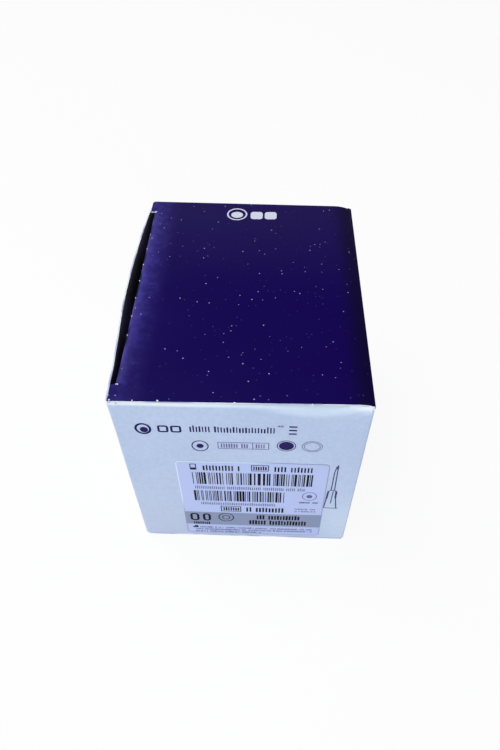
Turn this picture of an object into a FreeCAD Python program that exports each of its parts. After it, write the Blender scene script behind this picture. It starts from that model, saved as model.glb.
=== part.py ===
import FreeCAD, Part
import math
import os

# Folding carton of sealed hypodermic needles, in millimetres.
#
# The carton is one sheet of folding boxboard, die cut, creased and glued. It stands on its glued
# bottom and opens at the top: the lid is creased to the right wall and its tuck flap slips down
# inside the left wall. Two dust flaps lie under the lid. The unsupported top edge of the left wall
# has bowed outwards, so a slot shows between it and the tuck flap.
#
# Inside are flat strips of needle packs, stacked in two columns. A pack is a clear formed film
# sealed to a paper backing, with one needle in it: a plastic hub, a steel cannula glued into the
# hub and a shield pushed over both. The strips under the top layer can't be seen into, so each of
# them is one solid. In the top layer the film, the paper and every needle part are separate.
#
# Frame: origin at the middle of the bottom, +Z up, -Y towards the labelled front panel, +X towards
# the wall that carries the lid.

Vector = FreeCAD.Vector

# Carton
WIDTH = 82.0  # outside, between the left and right walls
DEPTH = 104.0  # outside, between the front and back walls
HEIGHT = 92.0  # to the top face of the lid
BOARD = 0.5  # thickness of the boxboard
FOLD_RADIUS = 0.8  # outside radius of a creased fold
WALL_BOW = 2.15  # how far the free top edge of the left wall has bowed outwards
GLUE_FLAP = 12.0
GLUE_FLAP_TAPER = 5.0
BOTTOM_FLAP = 35.0  # reach of the front and back bottom flaps
BOTTOM_SETBACK = 1.0  # from the free edge of a bottom flap to the fold of the opposite wall
BOTTOM_SIDE_GAP = 0.4  # by which a bottom flap is narrower than the carton at each side

# Lid
LID_GAP = 0.15  # between the lid and what it closes on
LID_SHOULDER = 7.0  # width of the curve that leads down to the lid's crease
LID_DROP = 1.2  # from the lid's top face down to its crease
LID_FOLD_RADIUS = 1.5  # the softer fold between lid and tuck flap
LID_END_SETBACK = 0.2  # of the lid's cut front and back edges
HINGE_GAP = 0.1  # between the lid's creased edge and the right wall
EAR = 6.5  # length of the two ears that stay flat over the left wall
EAR_TO_FOLD = 1.2  # how much further the ears reach than the fold between them
TUCK_DEPTH = 14.0  # from the lid's top face to the tuck flap's free edge
TUCK_LEAN = 2.5  # degrees that the tuck flap leans inwards
TUCK_CORNER = 8.0  # radius of the tuck flap's free corners
TUCK_END_SETBACK = 1.6  # from the carton's ends to the tuck flap's sides
SLIT = 0.7  # height of the slit lock between an ear and the tuck flap

# Dust flaps
DUST_FLAP = 34.0
DUST_FOLD_RADIUS = 1.5  # outside; this fold is springy and stays softer than the pressed ones
DUST_TAPER = 5.0  # how much the hinge side leans in towards the free edge
DUST_NOTCH = 4.0  # shoulder on the tuck side, where the flap narrows
DUST_CORNER = 4.0
DUST_TO_TUCK = 1.3  # from the dust flap to the tuck flap
DUST_TO_SHOULDER = 0.6  # from the dust flap to where the lid starts to curve

# Printed label on the front panel
LABEL_WIDTH = 54.0
LABEL_HEIGHT = 55.0
LABEL_THICK = 0.08
LABEL_CENTRE_X = 3.5
LABEL_BOTTOM = 3.5
LABEL_CORNER = 1.8

# Strips of needle packs: as many as the carton holds, and as long as half its depth allows
SIDE_ROOM = 1.5  # least room between a strip and a side wall
END_ROOM = 0.75  # between a strip and the end wall that it lies against
MIDDLE_ROOM = 0.5  # between the two stacks
HEADROOM = 6.0  # least room between the top strips and the dust flaps
PAPER = 0.15
FILM = 0.2
LAYER_GAP = 0.05  # between one strip and the paper of the next
PEEL_TAB = 7.0  # unsealed end by which the film is peeled from the paper
END_SEAL = 4.0  # sealed end beyond the pocket
SIDE_SEAL = 4.4  # sealed width between one pocket and the next
ROOM_OVER_HUB = 1.4  # from the hub's collar to the top of the pocket
ROOM_BESIDE_LUGS = 1.6  # from the hub's lugs to the pocket's sides, at the paper
ROOM_BESIDE_SHIELD = 1.45
ROOM_BEHIND_HUB = 1.0  # from the hub's open end to the pocket's end wall, at the paper
ROOM_BEFORE_SHIELD = 3.0
# The pocket's domed walls: share of its height, then how far the sides and the ends have come in
POCKET_LEVELS = [(0, 0, 0), (0.4, 0.35, 0.25), (0.78, 1.3, 0.9), (1, 2.7, 2.0)]
POCKET_CORNER = 1.0  # cut off the upright corners of the pockets that can be looked into

# Needle, measured along its axis from the open end of the hub
COLLAR_RADIUS = 3.1
COLLAR_LENGTH = 1.2
LUG_RADIUS = 3.6  # to the end of the two locking lugs
LUG_WIDTH = 3.0
BARREL_RADIUS = 2.75
BARREL_END_RADIUS = 2.55
BARREL_END = 9.5
RIBS = 8  # for turning the needle on the syringe
RIB_WIDTH = 0.55
RIB_BELOW_COLLAR = 0.1  # how much less than the collar the ribs stand out
RIB_FALL = 0.1  # how much lower they are at the far end
RIB_RUN_OUT = 0.6  # length over which they slope down to the barrel
BOSS_RADIUS = 2.15
BOSS_END = 13.5
NOSE_RADIUS = 1.0
HUB_LENGTH = 16.5
LUER_RADIUS = 2.15
LUER_DEPTH = 7.5
LUER_TAPER = 0.06  # on the diameter
CANNULA_RADIUS = 0.2
CANNULA_BORE = 0.105
CANNULA_START = 11.0
BEVEL_ANGLE = 12.0
GLUE_LINE = 0.02  # between cannula and hub
SHIELD_RADIUS = 2.75
SHIELD_TIP_RADIUS = 1.9
SHIELD_WALL = 0.55
ROOM_BEFORE_POINT = 5.45  # inside the shield, beyond the cannula
SHIELD_FIT = 0.03  # between the shield and the hub's boss
ROUND_SIDES = 16  # flats that stand for the roundness of a hub or a shield
CANNULA_SIDES = 8

LEFT = -WIDTH / 2
RIGHT = WIDTH / 2
FRONT = -DEPTH / 2
BACK = DEPTH / 2
FLOOR = 3 * BOARD  # top of the three glued layers of the bottom
UNDER_LID = HEIGHT - BOARD - LID_GAP  # highest point of what the lid closes on
CREASE_Z = HEIGHT - LID_DROP
SHOULDER_START = RIGHT - LID_SHOULDER
SHOULDER_RADIUS = (LID_SHOULDER**2 + LID_DROP**2) / (2 * LID_DROP)
SHOULDER_CENTRE_Z = HEIGHT - SHOULDER_RADIUS
TUCK_X = LEFT + EAR_TO_FOLD  # outermost line of the lid's fold
PACK_LENGTH = (DEPTH - MIDDLE_ROOM) / 2 - BOARD - END_ROOM
POCKET_LENGTH = PACK_LENGTH - PEEL_TAB - END_SEAL
SHIELD_LENGTH = POCKET_LENGTH - ROOM_BEHIND_HUB - BARREL_END - ROOM_BEFORE_SHIELD
SHIELD_INSIDE = BARREL_END + SHIELD_LENGTH - SHIELD_WALL  # its far end, from the hub's open end
CANNULA_FREE = SHIELD_INSIDE - ROOM_BEFORE_POINT - HUB_LENGTH  # 13 mm stand out of the hub
POCKET_HEIGHT = 2 * COLLAR_RADIUS + ROOM_OVER_HUB
POCKET_HUB_WIDTH = 2 * (LUG_RADIUS + ROOM_BESIDE_LUGS)
POCKET_TIP_WIDTH = 2 * (SHIELD_RADIUS + ROOM_BESIDE_SHIELD)
PACK_WIDTH = POCKET_HUB_WIDTH + 2 * FILM + SIDE_SEAL
LAYER_PITCH = PAPER + POCKET_HEIGHT + FILM + LAYER_GAP
PACKS = int((WIDTH - 2 * (BOARD + SIDE_ROOM)) / PACK_WIDTH)  # side by side in a strip
LAYERS = int((UNDER_LID - BOARD - HEADROOM - FLOOR) / LAYER_PITCH)  # strips in a stack
STRIP_WIDTH = PACKS * PACK_WIDTH
OVERRUN = 5.0  # how far a cutting solid runs past what it cuts
UPRIGHT = 90  # degrees from +X up to +Z


def box(x0, x1, y0, y1, z0, z1):
    """A box between two opposite corners."""
    return Part.makeBox(x1 - x0, y1 - y0, z1 - z0, Vector(x0, y0, z0))


def line(a, b):
    return Part.LineSegment(a, b).toShape()


def arc(a, middle, b):
    return Part.Arc(a, middle, b).toShape()


def on_circle(centre, radius, degrees):
    """A point of a circle in an upright plane, at an angle from +X towards +Z."""
    angle = math.radians(degrees)
    return centre + Vector(radius * math.cos(angle), 0, radius * math.sin(angle))


def extrude(edges, direction):
    """The solid swept by the closed outline that the edges make."""
    return Part.Face(Part.Wire(edges)).extrude(direction)


def fuse(first, *others):
    """One solid from several that touch or overlap."""
    return first.fuse(list(others)).removeSplitter()


def sewn(outlines):
    """The solid that flat faces close, each given by its corner points."""
    faces = [Part.Face(Part.makePolygon([*points, points[0]])) for points in outlines]
    shell = Part.makeShell(faces)
    shell.sewShape()
    solid = Part.makeSolid(shell)
    if solid.Volume < 0:
        solid.reverse()
    return solid


def rounded_plate(outline, thickness_vector):
    """A plate from a polygon of (point, corner radius); a radius of 0 leaves the corner sharp."""
    count = len(outline)
    cuts = []
    for i in range(count):
        point, radius = outline[i]
        if radius == 0:
            cuts.append((point, point, point))
            continue
        before = (outline[i - 1][0] - point).normalize()
        after = (outline[(i + 1) % count][0] - point).normalize()
        half = before.getAngle(after) / 2
        reach = radius / math.tan(half)
        bisector = (before + after).normalize()
        middle = point + bisector * (radius / math.sin(half) - radius)
        cuts.append((point + before * reach, middle, point + after * reach))
    edges = []
    for i in range(count):
        start, middle, end = cuts[i]
        if (start - end).Length > 1e-9:
            edges.append(arc(start, middle, end))
        following = cuts[(i + 1) % count][0]
        if (end - following).Length > 1e-9:
            edges.append(line(end, following))
    return extrude(edges, thickness_vector)


# The folded body of the carton


def wall_outline(inset, bow, z):
    """The carton's outline at one height, inset from its outer face, its left side bowed out."""
    x0, x1 = LEFT + inset, RIGHT - inset
    y0, y1 = FRONT + inset, BACK - inset
    r = FOLD_RADIUS - inset
    near = r * (1 - math.sqrt(0.5))  # from a corner's tangent lines to the middle of its arc
    return Part.Wire(
        [
            line(Vector(x0 + r, y0, z), Vector(x1 - r, y0, z)),
            arc(Vector(x1 - r, y0, z), Vector(x1 - near, y0 + near, z), Vector(x1, y0 + r, z)),
            line(Vector(x1, y0 + r, z), Vector(x1, y1 - r, z)),
            arc(Vector(x1, y1 - r, z), Vector(x1 - near, y1 - near, z), Vector(x1 - r, y1, z)),
            line(Vector(x1 - r, y1, z), Vector(x0 + r, y1, z)),
            arc(Vector(x0 + r, y1, z), Vector(x0 + near, y1 - near, z), Vector(x0, y1 - r, z)),
            arc(Vector(x0, y1 - r, z), Vector(x0 - bow, 0, z), Vector(x0, y0 + r, z)),
            arc(Vector(x0, y0 + r, z), Vector(x0 + near, y0 + near, z), Vector(x0 + r, y0, z)),
        ]
    )


def wall_tube():
    """The four walls, open at both ends: straight at the bottom, bowed on the left at the top."""
    least_bow = 0.02  # an arc needs some sagitta

    def column(inset):
        sections = [wall_outline(inset, least_bow, 0), wall_outline(inset, WALL_BOW, UNDER_LID)]
        return Part.makeLoft(sections, True, True)

    return column(0).cut(column(BOARD))


def under_lid_envelope():
    """All the space below the closed lid and clear of it, as a cutting solid."""
    radius = SHOULDER_RADIUS - BOARD - LID_GAP
    centre = Vector(SHOULDER_START, 0, SHOULDER_CENTRE_Z)
    top = CREASE_Z - HINGE_GAP
    reach = math.degrees(math.asin((top - SHOULDER_CENTRE_Z) / radius))
    shoulder_end = on_circle(centre, radius, reach)
    shoulder_middle = on_circle(centre, radius, (reach + UPRIGHT) / 2)
    shoulder_start = on_circle(centre, radius, UPRIGHT)
    far_right, far_left = RIGHT + OVERRUN, LEFT - WALL_BOW - OVERRUN
    edges = [
        line(Vector(far_left, 0, -OVERRUN), Vector(far_right, 0, -OVERRUN)),
        line(Vector(far_right, 0, -OVERRUN), Vector(far_right, 0, top)),
        line(Vector(far_right, 0, top), shoulder_end),
        arc(shoulder_end, shoulder_middle, shoulder_start),
        line(shoulder_start, Vector(far_left, 0, UNDER_LID)),
        line(Vector(far_left, 0, UNDER_LID), Vector(far_left, 0, -OVERRUN)),
    ]
    solid = extrude(edges, Vector(0, DEPTH + 2 * OVERRUN, 0))
    solid.translate(Vector(0, FRONT - OVERRUN, 0))
    return solid


def front_dust_flap():
    """The front wall's dust flap with its fold, tapered on the hinge side, notched on the tuck side."""
    outer = DUST_FOLD_RADIUS
    inner = DUST_FOLD_RADIUS - BOARD
    x0 = TUCK_X + BOARD + DUST_TO_TUCK
    x1 = SHOULDER_START - DUST_TO_SHOULDER
    top = UNDER_LID
    centre = Vector(x0, FRONT + outer, top - outer)
    free = FRONT + DUST_FLAP
    slant = math.sqrt(0.5)

    def at(radius, dy, dz):
        return centre + Vector(0, -radius * dy, radius * dz)

    folded = extrude(
        [
            arc(at(outer, 1, 0), at(outer, slant, slant), at(outer, 0, 1)),
            line(at(outer, 0, 1), Vector(x0, free, top)),
            line(Vector(x0, free, top), Vector(x0, free, top - BOARD)),
            line(Vector(x0, free, top - BOARD), at(inner, 0, 1)),
            arc(at(inner, 0, 1), at(inner, slant, slant), at(inner, 1, 0)),
            line(at(inner, 1, 0), at(outer, 1, 0)),
        ],
        Vector(x1 - x0, 0, 0),
    )
    low = top - 2 * OVERRUN
    outline = [
        (Vector(x0, FRONT - OVERRUN, low), 0),
        (Vector(x1, FRONT - OVERRUN, low), 0),
        (Vector(x1, FRONT + 2 * outer, low), 0),
        (Vector(x1 - DUST_TAPER, free, low), DUST_CORNER),
        (Vector(x0 + DUST_NOTCH, free, low), DUST_CORNER),
        (Vector(x0 + DUST_NOTCH / 2, FRONT + 2 * DUST_NOTCH, low), 0),
        (Vector(x0, FRONT + DUST_NOTCH, low), 0),
    ]
    return folded.common(rounded_plate(outline, Vector(0, 0, 4 * OVERRUN)))


def turned_to_back(shape):
    """The same piece at the back wall: its mirror image across the middle of the carton."""
    return shape.mirror(Vector(0, 0, 0), Vector(0, 1, 0))


def bottom_flaps():
    """The three glued layers: a flap from each end wall, one from the left wall, one from the right."""
    hidden = BOARD / 2  # every flap starts inside the wall that it is folded from
    x0, x1 = LEFT + BOTTOM_SIDE_GAP, RIGHT - BOTTOM_SIDE_GAP
    y0, y1 = FRONT + BOTTOM_SIDE_GAP, BACK - BOTTOM_SIDE_GAP
    end_flap = box(x0, x1, FRONT + hidden, FRONT + BOTTOM_FLAP, 2 * BOARD, FLOOR)
    inner = box(LEFT + hidden, RIGHT - BOTTOM_SETBACK, y0, y1, BOARD, 2 * BOARD)
    outer = box(LEFT + BOTTOM_SETBACK, RIGHT - hidden, y0, y1, 0, BOARD)
    return [end_flap, turned_to_back(end_flap), inner, outer]


def fold_rounding(start, along, towards_x, towards_y):
    """What a fold of outer radius FOLD_RADIUS takes off a square lower edge of the carton."""
    r = FOLD_RADIUS
    inwards = Vector(towards_x, towards_y, 0)
    up = Vector(0, 0, 1)
    centre = start + (inwards + up) * r
    slant = math.sqrt(0.5)
    outside = start - (inwards + up) * r
    edges = [
        arc(centre - inwards * r, centre - (inwards + up) * (r * slant), centre - up * r),
        line(centre - up * r, centre - up * (2 * r)),
        line(centre - up * (2 * r), outside),
        line(outside, centre - inwards * (2 * r)),
        line(centre - inwards * (2 * r), centre - inwards * r),
    ]
    return extrude(edges, along)


def bottom_trim():
    """What is left open below the end walls and the left wall, and taken off each lower fold."""
    far_x, far_y = RIGHT + OVERRUN, BACK + OVERRUN
    side_folds = Vector(0, 2 * far_y, 0)
    end_folds = Vector(2 * far_x, 0, 0)
    left_gap = box(-far_x, LEFT + BOTTOM_SETBACK, -far_y, far_y, -OVERRUN, BOARD)
    end_gap = box(-far_x, far_x, -far_y, FRONT + BOTTOM_SIDE_GAP, -OVERRUN, 2 * BOARD)
    end_fold = fold_rounding(Vector(-far_x, FRONT, 2 * BOARD), end_folds, 0, 1)
    return [
        left_gap,
        end_gap,
        turned_to_back(end_gap),
        end_fold,
        turned_to_back(end_fold),
        fold_rounding(Vector(LEFT, -far_y, BOARD), side_folds, 1, 0),
        fold_rounding(Vector(RIGHT, -far_y, 0), side_folds, -1, 0),
    ]


def glue_flap():
    """The seam: the left wall's sheet turns the back corner and is glued inside the back wall."""
    face = BACK - BOARD
    x0 = LEFT + BOARD / 2
    x1 = LEFT + BOARD + GLUE_FLAP
    z0, z1 = FLOOR, UNDER_LID - FOLD_RADIUS - BOARD
    outline = [
        (Vector(x0, face, z0), 0),
        (Vector(x1, face, z0 + GLUE_FLAP_TAPER), 0),
        (Vector(x1, face, z1 - GLUE_FLAP_TAPER), 0),
        (Vector(x0, face, z1), 0),
    ]
    return rounded_plate(outline, Vector(0, -BOARD, 0))


def make_carton_body():
    flap = front_dust_flap()
    back_flap = turned_to_back(flap)
    x0, x1 = flap.BoundBox.XMin, flap.BoundBox.XMax
    fold = DUST_FOLD_RADIUS
    above_fold = box(x0, x1, FRONT - OVERRUN, FRONT + fold, UNDER_LID - fold, HEIGHT)
    walls = wall_tube().common(under_lid_envelope())
    walls = walls.cut([above_fold, turned_to_back(above_fold)])
    folded = fuse(walls, flap, back_flap, glue_flap(), *bottom_flaps())
    return folded.cut(bottom_trim()).removeSplitter()


# The lid and its tuck flap


def tuck_fold_centre():
    return Vector(TUCK_X + LID_FOLD_RADIUS, 0, HEIGHT - LID_FOLD_RADIUS)


def lid_sheet(left_edges, length, y):
    """The lid's sheet with its curved shoulder, from the given edges at its left end, upwards."""
    centre = Vector(SHOULDER_START, 0, SHOULDER_CENTRE_Z)
    low = CREASE_Z - SHOULDER_CENTRE_Z
    inner_radius = SHOULDER_RADIUS - BOARD
    outer_reach = math.degrees(math.asin(low / SHOULDER_RADIUS))
    inner_reach = math.degrees(math.asin(low / inner_radius))
    outer_end = on_circle(centre, SHOULDER_RADIUS, outer_reach)
    inner_end = on_circle(centre, inner_radius, inner_reach)
    outer_top = Vector(SHOULDER_START, 0, HEIGHT)
    inner_top = Vector(SHOULDER_START, 0, HEIGHT - BOARD)
    start = left_edges[0].firstVertex(True).Point
    end = left_edges[-1].lastVertex(True).Point
    edges = [
        *left_edges,
        line(end, outer_top),
        arc(outer_top, on_circle(centre, SHOULDER_RADIUS, (outer_reach + UPRIGHT) / 2), outer_end),
        line(outer_end, inner_end),
        arc(inner_end, on_circle(centre, inner_radius, (inner_reach + UPRIGHT) / 2), inner_top),
        line(inner_top, start),
    ]
    sheet = extrude(edges, Vector(0, length, 0))
    sheet.translate(Vector(0, y, 0))
    return sheet


def lid_between_ears():
    """The part of the lid that folds down into the tuck flap."""
    centre = tuck_fold_centre()
    outer, inner = LID_FOLD_RADIUS, LID_FOLD_RADIUS - BOARD
    end = 180 + TUCK_LEAN
    left = [
        arc(
            on_circle(centre, inner, UPRIGHT),
            on_circle(centre, inner, (UPRIGHT + end) / 2),
            on_circle(centre, inner, end),
        ),
        line(on_circle(centre, inner, end), on_circle(centre, outer, end)),
        arc(
            on_circle(centre, outer, end),
            on_circle(centre, outer, (UPRIGHT + end) / 2),
            on_circle(centre, outer, UPRIGHT),
        ),
    ]
    return lid_sheet(left, DEPTH - 2 * EAR, FRONT + EAR)


def lid_end(y):
    """One end of the lid, flat to its cut left edge: the ear that covers the left wall's end."""
    left = [line(Vector(LEFT, 0, HEIGHT - BOARD), Vector(LEFT, 0, HEIGHT))]
    return lid_sheet(left, EAR - LID_END_SETBACK, y)


def tuck_flap():
    """The tuck flap: it hangs from the fold and spreads below the two slits to nearly the full depth."""
    top = on_circle(tuck_fold_centre(), LID_FOLD_RADIUS, 180 + TUCK_LEAN)
    drop = (top.z - HEIGHT + TUCK_DEPTH) / math.cos(math.radians(TUCK_LEAN))
    neck = DEPTH / 2 - EAR
    side = DEPTH / 2 - TUCK_END_SETBACK
    shoulder = (side - neck) / 3
    outline = [
        (Vector(0, -neck, 0), 0),
        (Vector(0, -neck, -SLIT), 0),
        (Vector(0, -side, -SLIT), shoulder),
        (Vector(0, -side, -drop), TUCK_CORNER),
        (Vector(0, side, -drop), TUCK_CORNER),
        (Vector(0, side, -SLIT), shoulder),
        (Vector(0, neck, -SLIT), 0),
        (Vector(0, neck, 0), 0),
    ]
    flap = rounded_plate(outline, Vector(BOARD, 0, 0))
    flap.rotate(Vector(0, 0, 0), Vector(0, 1, 0), -TUCK_LEAN)
    flap.translate(top)
    return flap


def make_lid():
    ends = [lid_end(FRONT + LID_END_SETBACK), lid_end(BACK - EAR)]
    return fuse(lid_between_ears(), *ends, tuck_flap())


# The label


def make_label():
    x0 = LABEL_CENTRE_X - LABEL_WIDTH / 2
    x1 = LABEL_CENTRE_X + LABEL_WIDTH / 2
    z0, z1 = LABEL_BOTTOM, LABEL_BOTTOM + LABEL_HEIGHT
    outline = [
        (Vector(x0, FRONT, z0), LABEL_CORNER),
        (Vector(x1, FRONT, z0), LABEL_CORNER),
        (Vector(x1, FRONT, z1), LABEL_CORNER),
        (Vector(x0, FRONT, z1), LABEL_CORNER),
    ]
    return rounded_plate(outline, Vector(0, -LABEL_THICK, 0))


# Strips of packs, built for the front column with the hubs towards the middle of the carton.
# In a strip's own frame y runs from the tab end, at 0, towards -Y, and z from the paper's underside.


def pack_x(index):
    """The middle of a pack across its strip."""
    return (index - (PACKS - 1) / 2) * PACK_WIDTH


def pocket(x, wall, corner):
    """A pocket's form: its inside where wall is 0, its outside where wall is the film's thickness.

    `corner` is cut off its four upright corners; a corner of 0 leaves them sharp."""
    hub_end, tip_end = -PEEL_TAB + wall, -PEEL_TAB - POCKET_LENGTH - wall
    taper = (POCKET_HUB_WIDTH - POCKET_TIP_WIDTH) / 2 / POCKET_LENGTH
    rings = []
    for share, side_inset, end_inset in POCKET_LEVELS:
        z = PAPER + share * (POCKET_HEIGHT + wall)
        hub_y, tip_y = hub_end - end_inset, tip_end + end_inset
        right = [(hub_y, corner), (hub_y - corner, 0), (tip_y + corner, 0), (tip_y, corner)]
        around = [(1, y, cut) for y, cut in right] + [(-1, y, cut) for y, cut in reversed(right)]
        points = []
        for side, y, cut in around:
            half = POCKET_HUB_WIDTH / 2 + wall - side_inset - taper * (-PEEL_TAB - y)
            points.append(Vector(x + side * (half - cut), y, z))
        rings.append([p for i, p in enumerate(points) if p != points[i - 1]])
    walls = [
        [low[i - 1], low[i], high[i], high[i - 1]]
        for low, high in zip(rings, rings[1:])
        for i in range(len(low))
    ]
    return sewn([rings[0], *walls, rings[-1]])


def web(z0, z1):
    """A flat layer of the strip, as large as the strip itself."""
    return box(-STRIP_WIDTH / 2, STRIP_WIDTH / 2, -PACK_LENGTH, 0, z0, z1)


def sealed_strip():
    """A strip that can't be seen into, as one solid."""
    pockets = [pocket(pack_x(i), FILM, 0) for i in range(PACKS)]
    return fuse(web(0, PAPER + FILM), *pockets)


def backing_paper():
    return web(0, PAPER)


def blister_film():
    """The formed film: a flange over the whole paper, with one hollow pocket for each needle."""
    outsides = [pocket(pack_x(i), FILM, POCKET_CORNER) for i in range(PACKS)]
    insides = [pocket(pack_x(i), 0, POCKET_CORNER) for i in range(PACKS)]
    return fuse(web(PAPER, PAPER + FILM), *outsides).cut(insides)


# Needle parts, turned about the Y axis with the hub's open end at y = 0 and the point towards -Y


def turned(profile, sides):
    """The solid that a closed (radius, distance) profile makes about the axis, with flat sides."""

    def at(corner, step):
        radius, distance = corner
        angle = 2 * math.pi * step / sides
        return Vector(radius * math.cos(angle), -distance, radius * math.sin(angle))

    outlines = []
    for i in range(len(profile)):
        a, b = profile[i - 1], profile[i]
        on_axis = a[0] == 0 and b[0] == 0
        for step in range(0 if on_axis else sides):
            ring = [at(a, step), at(b, step), at(b, step + 1), at(a, step + 1)]
            outlines.append([p for j, p in enumerate(ring) if p != ring[j - 1]])
    return sewn(outlines).removeSplitter()


def hub_rib(index):
    """One of the ribs along the hub's barrel, rooted in it. None of them points straight down."""
    root = (LUER_RADIUS + BARREL_END_RADIUS) / 2
    top = COLLAR_RADIUS - RIB_BELOW_COLLAR
    half = RIB_WIDTH / 2
    outline = [
        (Vector(root, -COLLAR_LENGTH, -half), 0),
        (Vector(top, -COLLAR_LENGTH, -half), 0),
        (Vector(top - RIB_FALL, RIB_RUN_OUT - BARREL_END, -half), 0),
        (Vector(root, -BARREL_END, -half), 0),
    ]
    rib = rounded_plate(outline, Vector(0, 0, RIB_WIDTH))
    rib.rotate(Vector(0, 0, 0), Vector(0, 1, 0), 360 / RIBS * (index + 0.5))
    return rib


def needle_hub():
    luer_end = LUER_RADIUS - LUER_TAPER / 2 * LUER_DEPTH
    seat = CANNULA_RADIUS + GLUE_LINE
    body = turned(
        [
            (LUER_RADIUS, 0),
            (COLLAR_RADIUS, 0),
            (COLLAR_RADIUS, COLLAR_LENGTH),
            (BARREL_RADIUS, COLLAR_LENGTH),
            (BARREL_END_RADIUS, BARREL_END),
            (BOSS_RADIUS, BARREL_END),
            (BOSS_RADIUS, BOSS_END),
            (NOSE_RADIUS, HUB_LENGTH),
            (seat, HUB_LENGTH),
            (seat, LUER_DEPTH),
            (luer_end, LUER_DEPTH),
        ],
        ROUND_SIDES,
    )
    inside_collar = (LUER_RADIUS + COLLAR_RADIUS) / 2
    half_lug = LUG_WIDTH / 2
    lugs = [
        box(-LUG_RADIUS, -inside_collar, -COLLAR_LENGTH, 0, -half_lug, half_lug),
        box(inside_collar, LUG_RADIUS, -COLLAR_LENGTH, 0, -half_lug, half_lug),
    ]
    return fuse(body, *lugs, *[hub_rib(i) for i in range(RIBS)])


def cannula():
    end = HUB_LENGTH + CANNULA_FREE
    tube = turned(
        [
            (CANNULA_BORE, CANNULA_START),
            (CANNULA_RADIUS, CANNULA_START),
            (CANNULA_RADIUS, end),
            (CANNULA_BORE, end),
        ],
        CANNULA_SIDES,
    )
    ground_off = box(-OVERRUN, OVERRUN, 0, OVERRUN, 0, OVERRUN)
    ground_off.rotate(Vector(0, 0, 0), Vector(1, 0, 0), BEVEL_ANGLE)
    ground_off.translate(Vector(0, -end, -CANNULA_RADIUS))
    return tube.cut(ground_off)


def needle_shield():
    start = BARREL_END
    mouth = BOSS_RADIUS + SHIELD_FIT
    end = start + SHIELD_LENGTH
    dome = SHIELD_TIP_RADIUS / 2
    return turned(
        [
            (mouth, start),
            (SHIELD_RADIUS, start),
            (SHIELD_TIP_RADIUS, end - dome),
            (dome, end),
            (0, end),
            (0, end - SHIELD_WALL),
            (SHIELD_TIP_RADIUS - SHIELD_WALL, end - dome),
            (mouth, BOSS_END),
        ],
        ROUND_SIDES,
    )


def in_column(shape, column, layer):
    """A piece of a front-column strip, put at its layer and, for the back column, mirrored over."""
    placed = shape.copy()
    placed.translate(Vector(0, -MIDDLE_ROOM / 2, FLOOR + layer * LAYER_PITCH))
    return placed if column == "front" else turned_to_back(placed)


def export(shape, node):
    """Writes one node, after checking that it is closed and valid."""
    if not shape.isValid() or not shape.isClosed():
        raise ValueError(f"{node} is not a valid closed solid")
    shape.exportStep(f"parts/{node}.step")
    print(f"{node}: {len(shape.Solids)} solid, {len(shape.Faces)} faces, {shape.Volume:.1f} mm3")


def main():
    os.makedirs("parts", exist_ok=True)
    export(make_carton_body(), "carton_body")
    export(make_lid(), "lid")
    export(make_label(), "front_label")
    strip = sealed_strip()
    top_layer = LAYERS - 1
    for column in ("front", "back"):
        for layer in range(top_layer):
            export(in_column(strip, column, layer), f"sealed_strip_{column}_{layer + 1}")
        export(in_column(backing_paper(), column, top_layer), f"backing_paper_{column}")
        export(in_column(blister_film(), column, top_layer), f"blister_film_{column}")
        hub_y = -PEEL_TAB - ROOM_BEHIND_HUB
        for index in range(PACKS):
            seat = Vector(pack_x(index), hub_y, PAPER + COLLAR_RADIUS)
            for name, make in (("hub", needle_hub), ("cannula", cannula), ("shield", needle_shield)):
                piece = make()
                piece.translate(seat)
                export(in_column(piece, column, top_layer), f"{name}_{column}_{index + 1}")


main()
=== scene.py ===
from functools import partial
from math import ceil, copysign, cos, exp, hypot, inf, pi, radians, sin, sqrt, tan

import bmesh
import bpy
from mathutils import Matrix, Vector


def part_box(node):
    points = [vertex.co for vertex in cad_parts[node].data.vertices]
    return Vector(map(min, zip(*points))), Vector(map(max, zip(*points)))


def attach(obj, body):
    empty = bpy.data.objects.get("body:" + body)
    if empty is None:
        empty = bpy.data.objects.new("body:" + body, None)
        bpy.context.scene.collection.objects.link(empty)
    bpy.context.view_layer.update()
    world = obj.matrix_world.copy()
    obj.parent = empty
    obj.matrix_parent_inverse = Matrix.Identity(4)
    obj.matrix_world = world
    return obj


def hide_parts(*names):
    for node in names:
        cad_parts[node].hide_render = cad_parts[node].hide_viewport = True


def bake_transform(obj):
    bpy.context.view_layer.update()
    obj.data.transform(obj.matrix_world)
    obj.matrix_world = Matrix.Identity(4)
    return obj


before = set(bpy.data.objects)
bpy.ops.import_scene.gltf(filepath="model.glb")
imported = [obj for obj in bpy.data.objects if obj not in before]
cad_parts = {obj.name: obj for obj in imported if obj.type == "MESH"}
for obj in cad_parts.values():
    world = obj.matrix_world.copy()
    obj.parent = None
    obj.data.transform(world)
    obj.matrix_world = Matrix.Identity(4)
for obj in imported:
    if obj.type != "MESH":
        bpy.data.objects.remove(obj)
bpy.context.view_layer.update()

# The view of the photo: a close camera in front of the carton looks down on it at about 50 degrees.
# The carton stands on a white floor in a white room, with soft boxes overhead, behind and in front.

MM = 0.001
WHITE = (1, 1, 1, 1)


class Value:
    """An output in a node graph. Arithmetic on it adds Math nodes, so patterns read as formulas."""

    def __init__(self, socket):
        self.socket = socket

    def __add__(self, other):
        return compute("ADD", self, other)

    def __radd__(self, other):
        return compute("ADD", other, self)

    def __sub__(self, other):
        return compute("SUBTRACT", self, other)

    def __rsub__(self, other):
        return compute("SUBTRACT", other, self)

    def __mul__(self, other):
        return compute("MULTIPLY", self, other)

    def __rmul__(self, other):
        return compute("MULTIPLY", other, self)

    def __truediv__(self, other):
        return compute("DIVIDE", self, other)

    def __rtruediv__(self, other):
        return compute("DIVIDE", other, self)

    def __abs__(self):
        return compute("ABSOLUTE", self)


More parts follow.
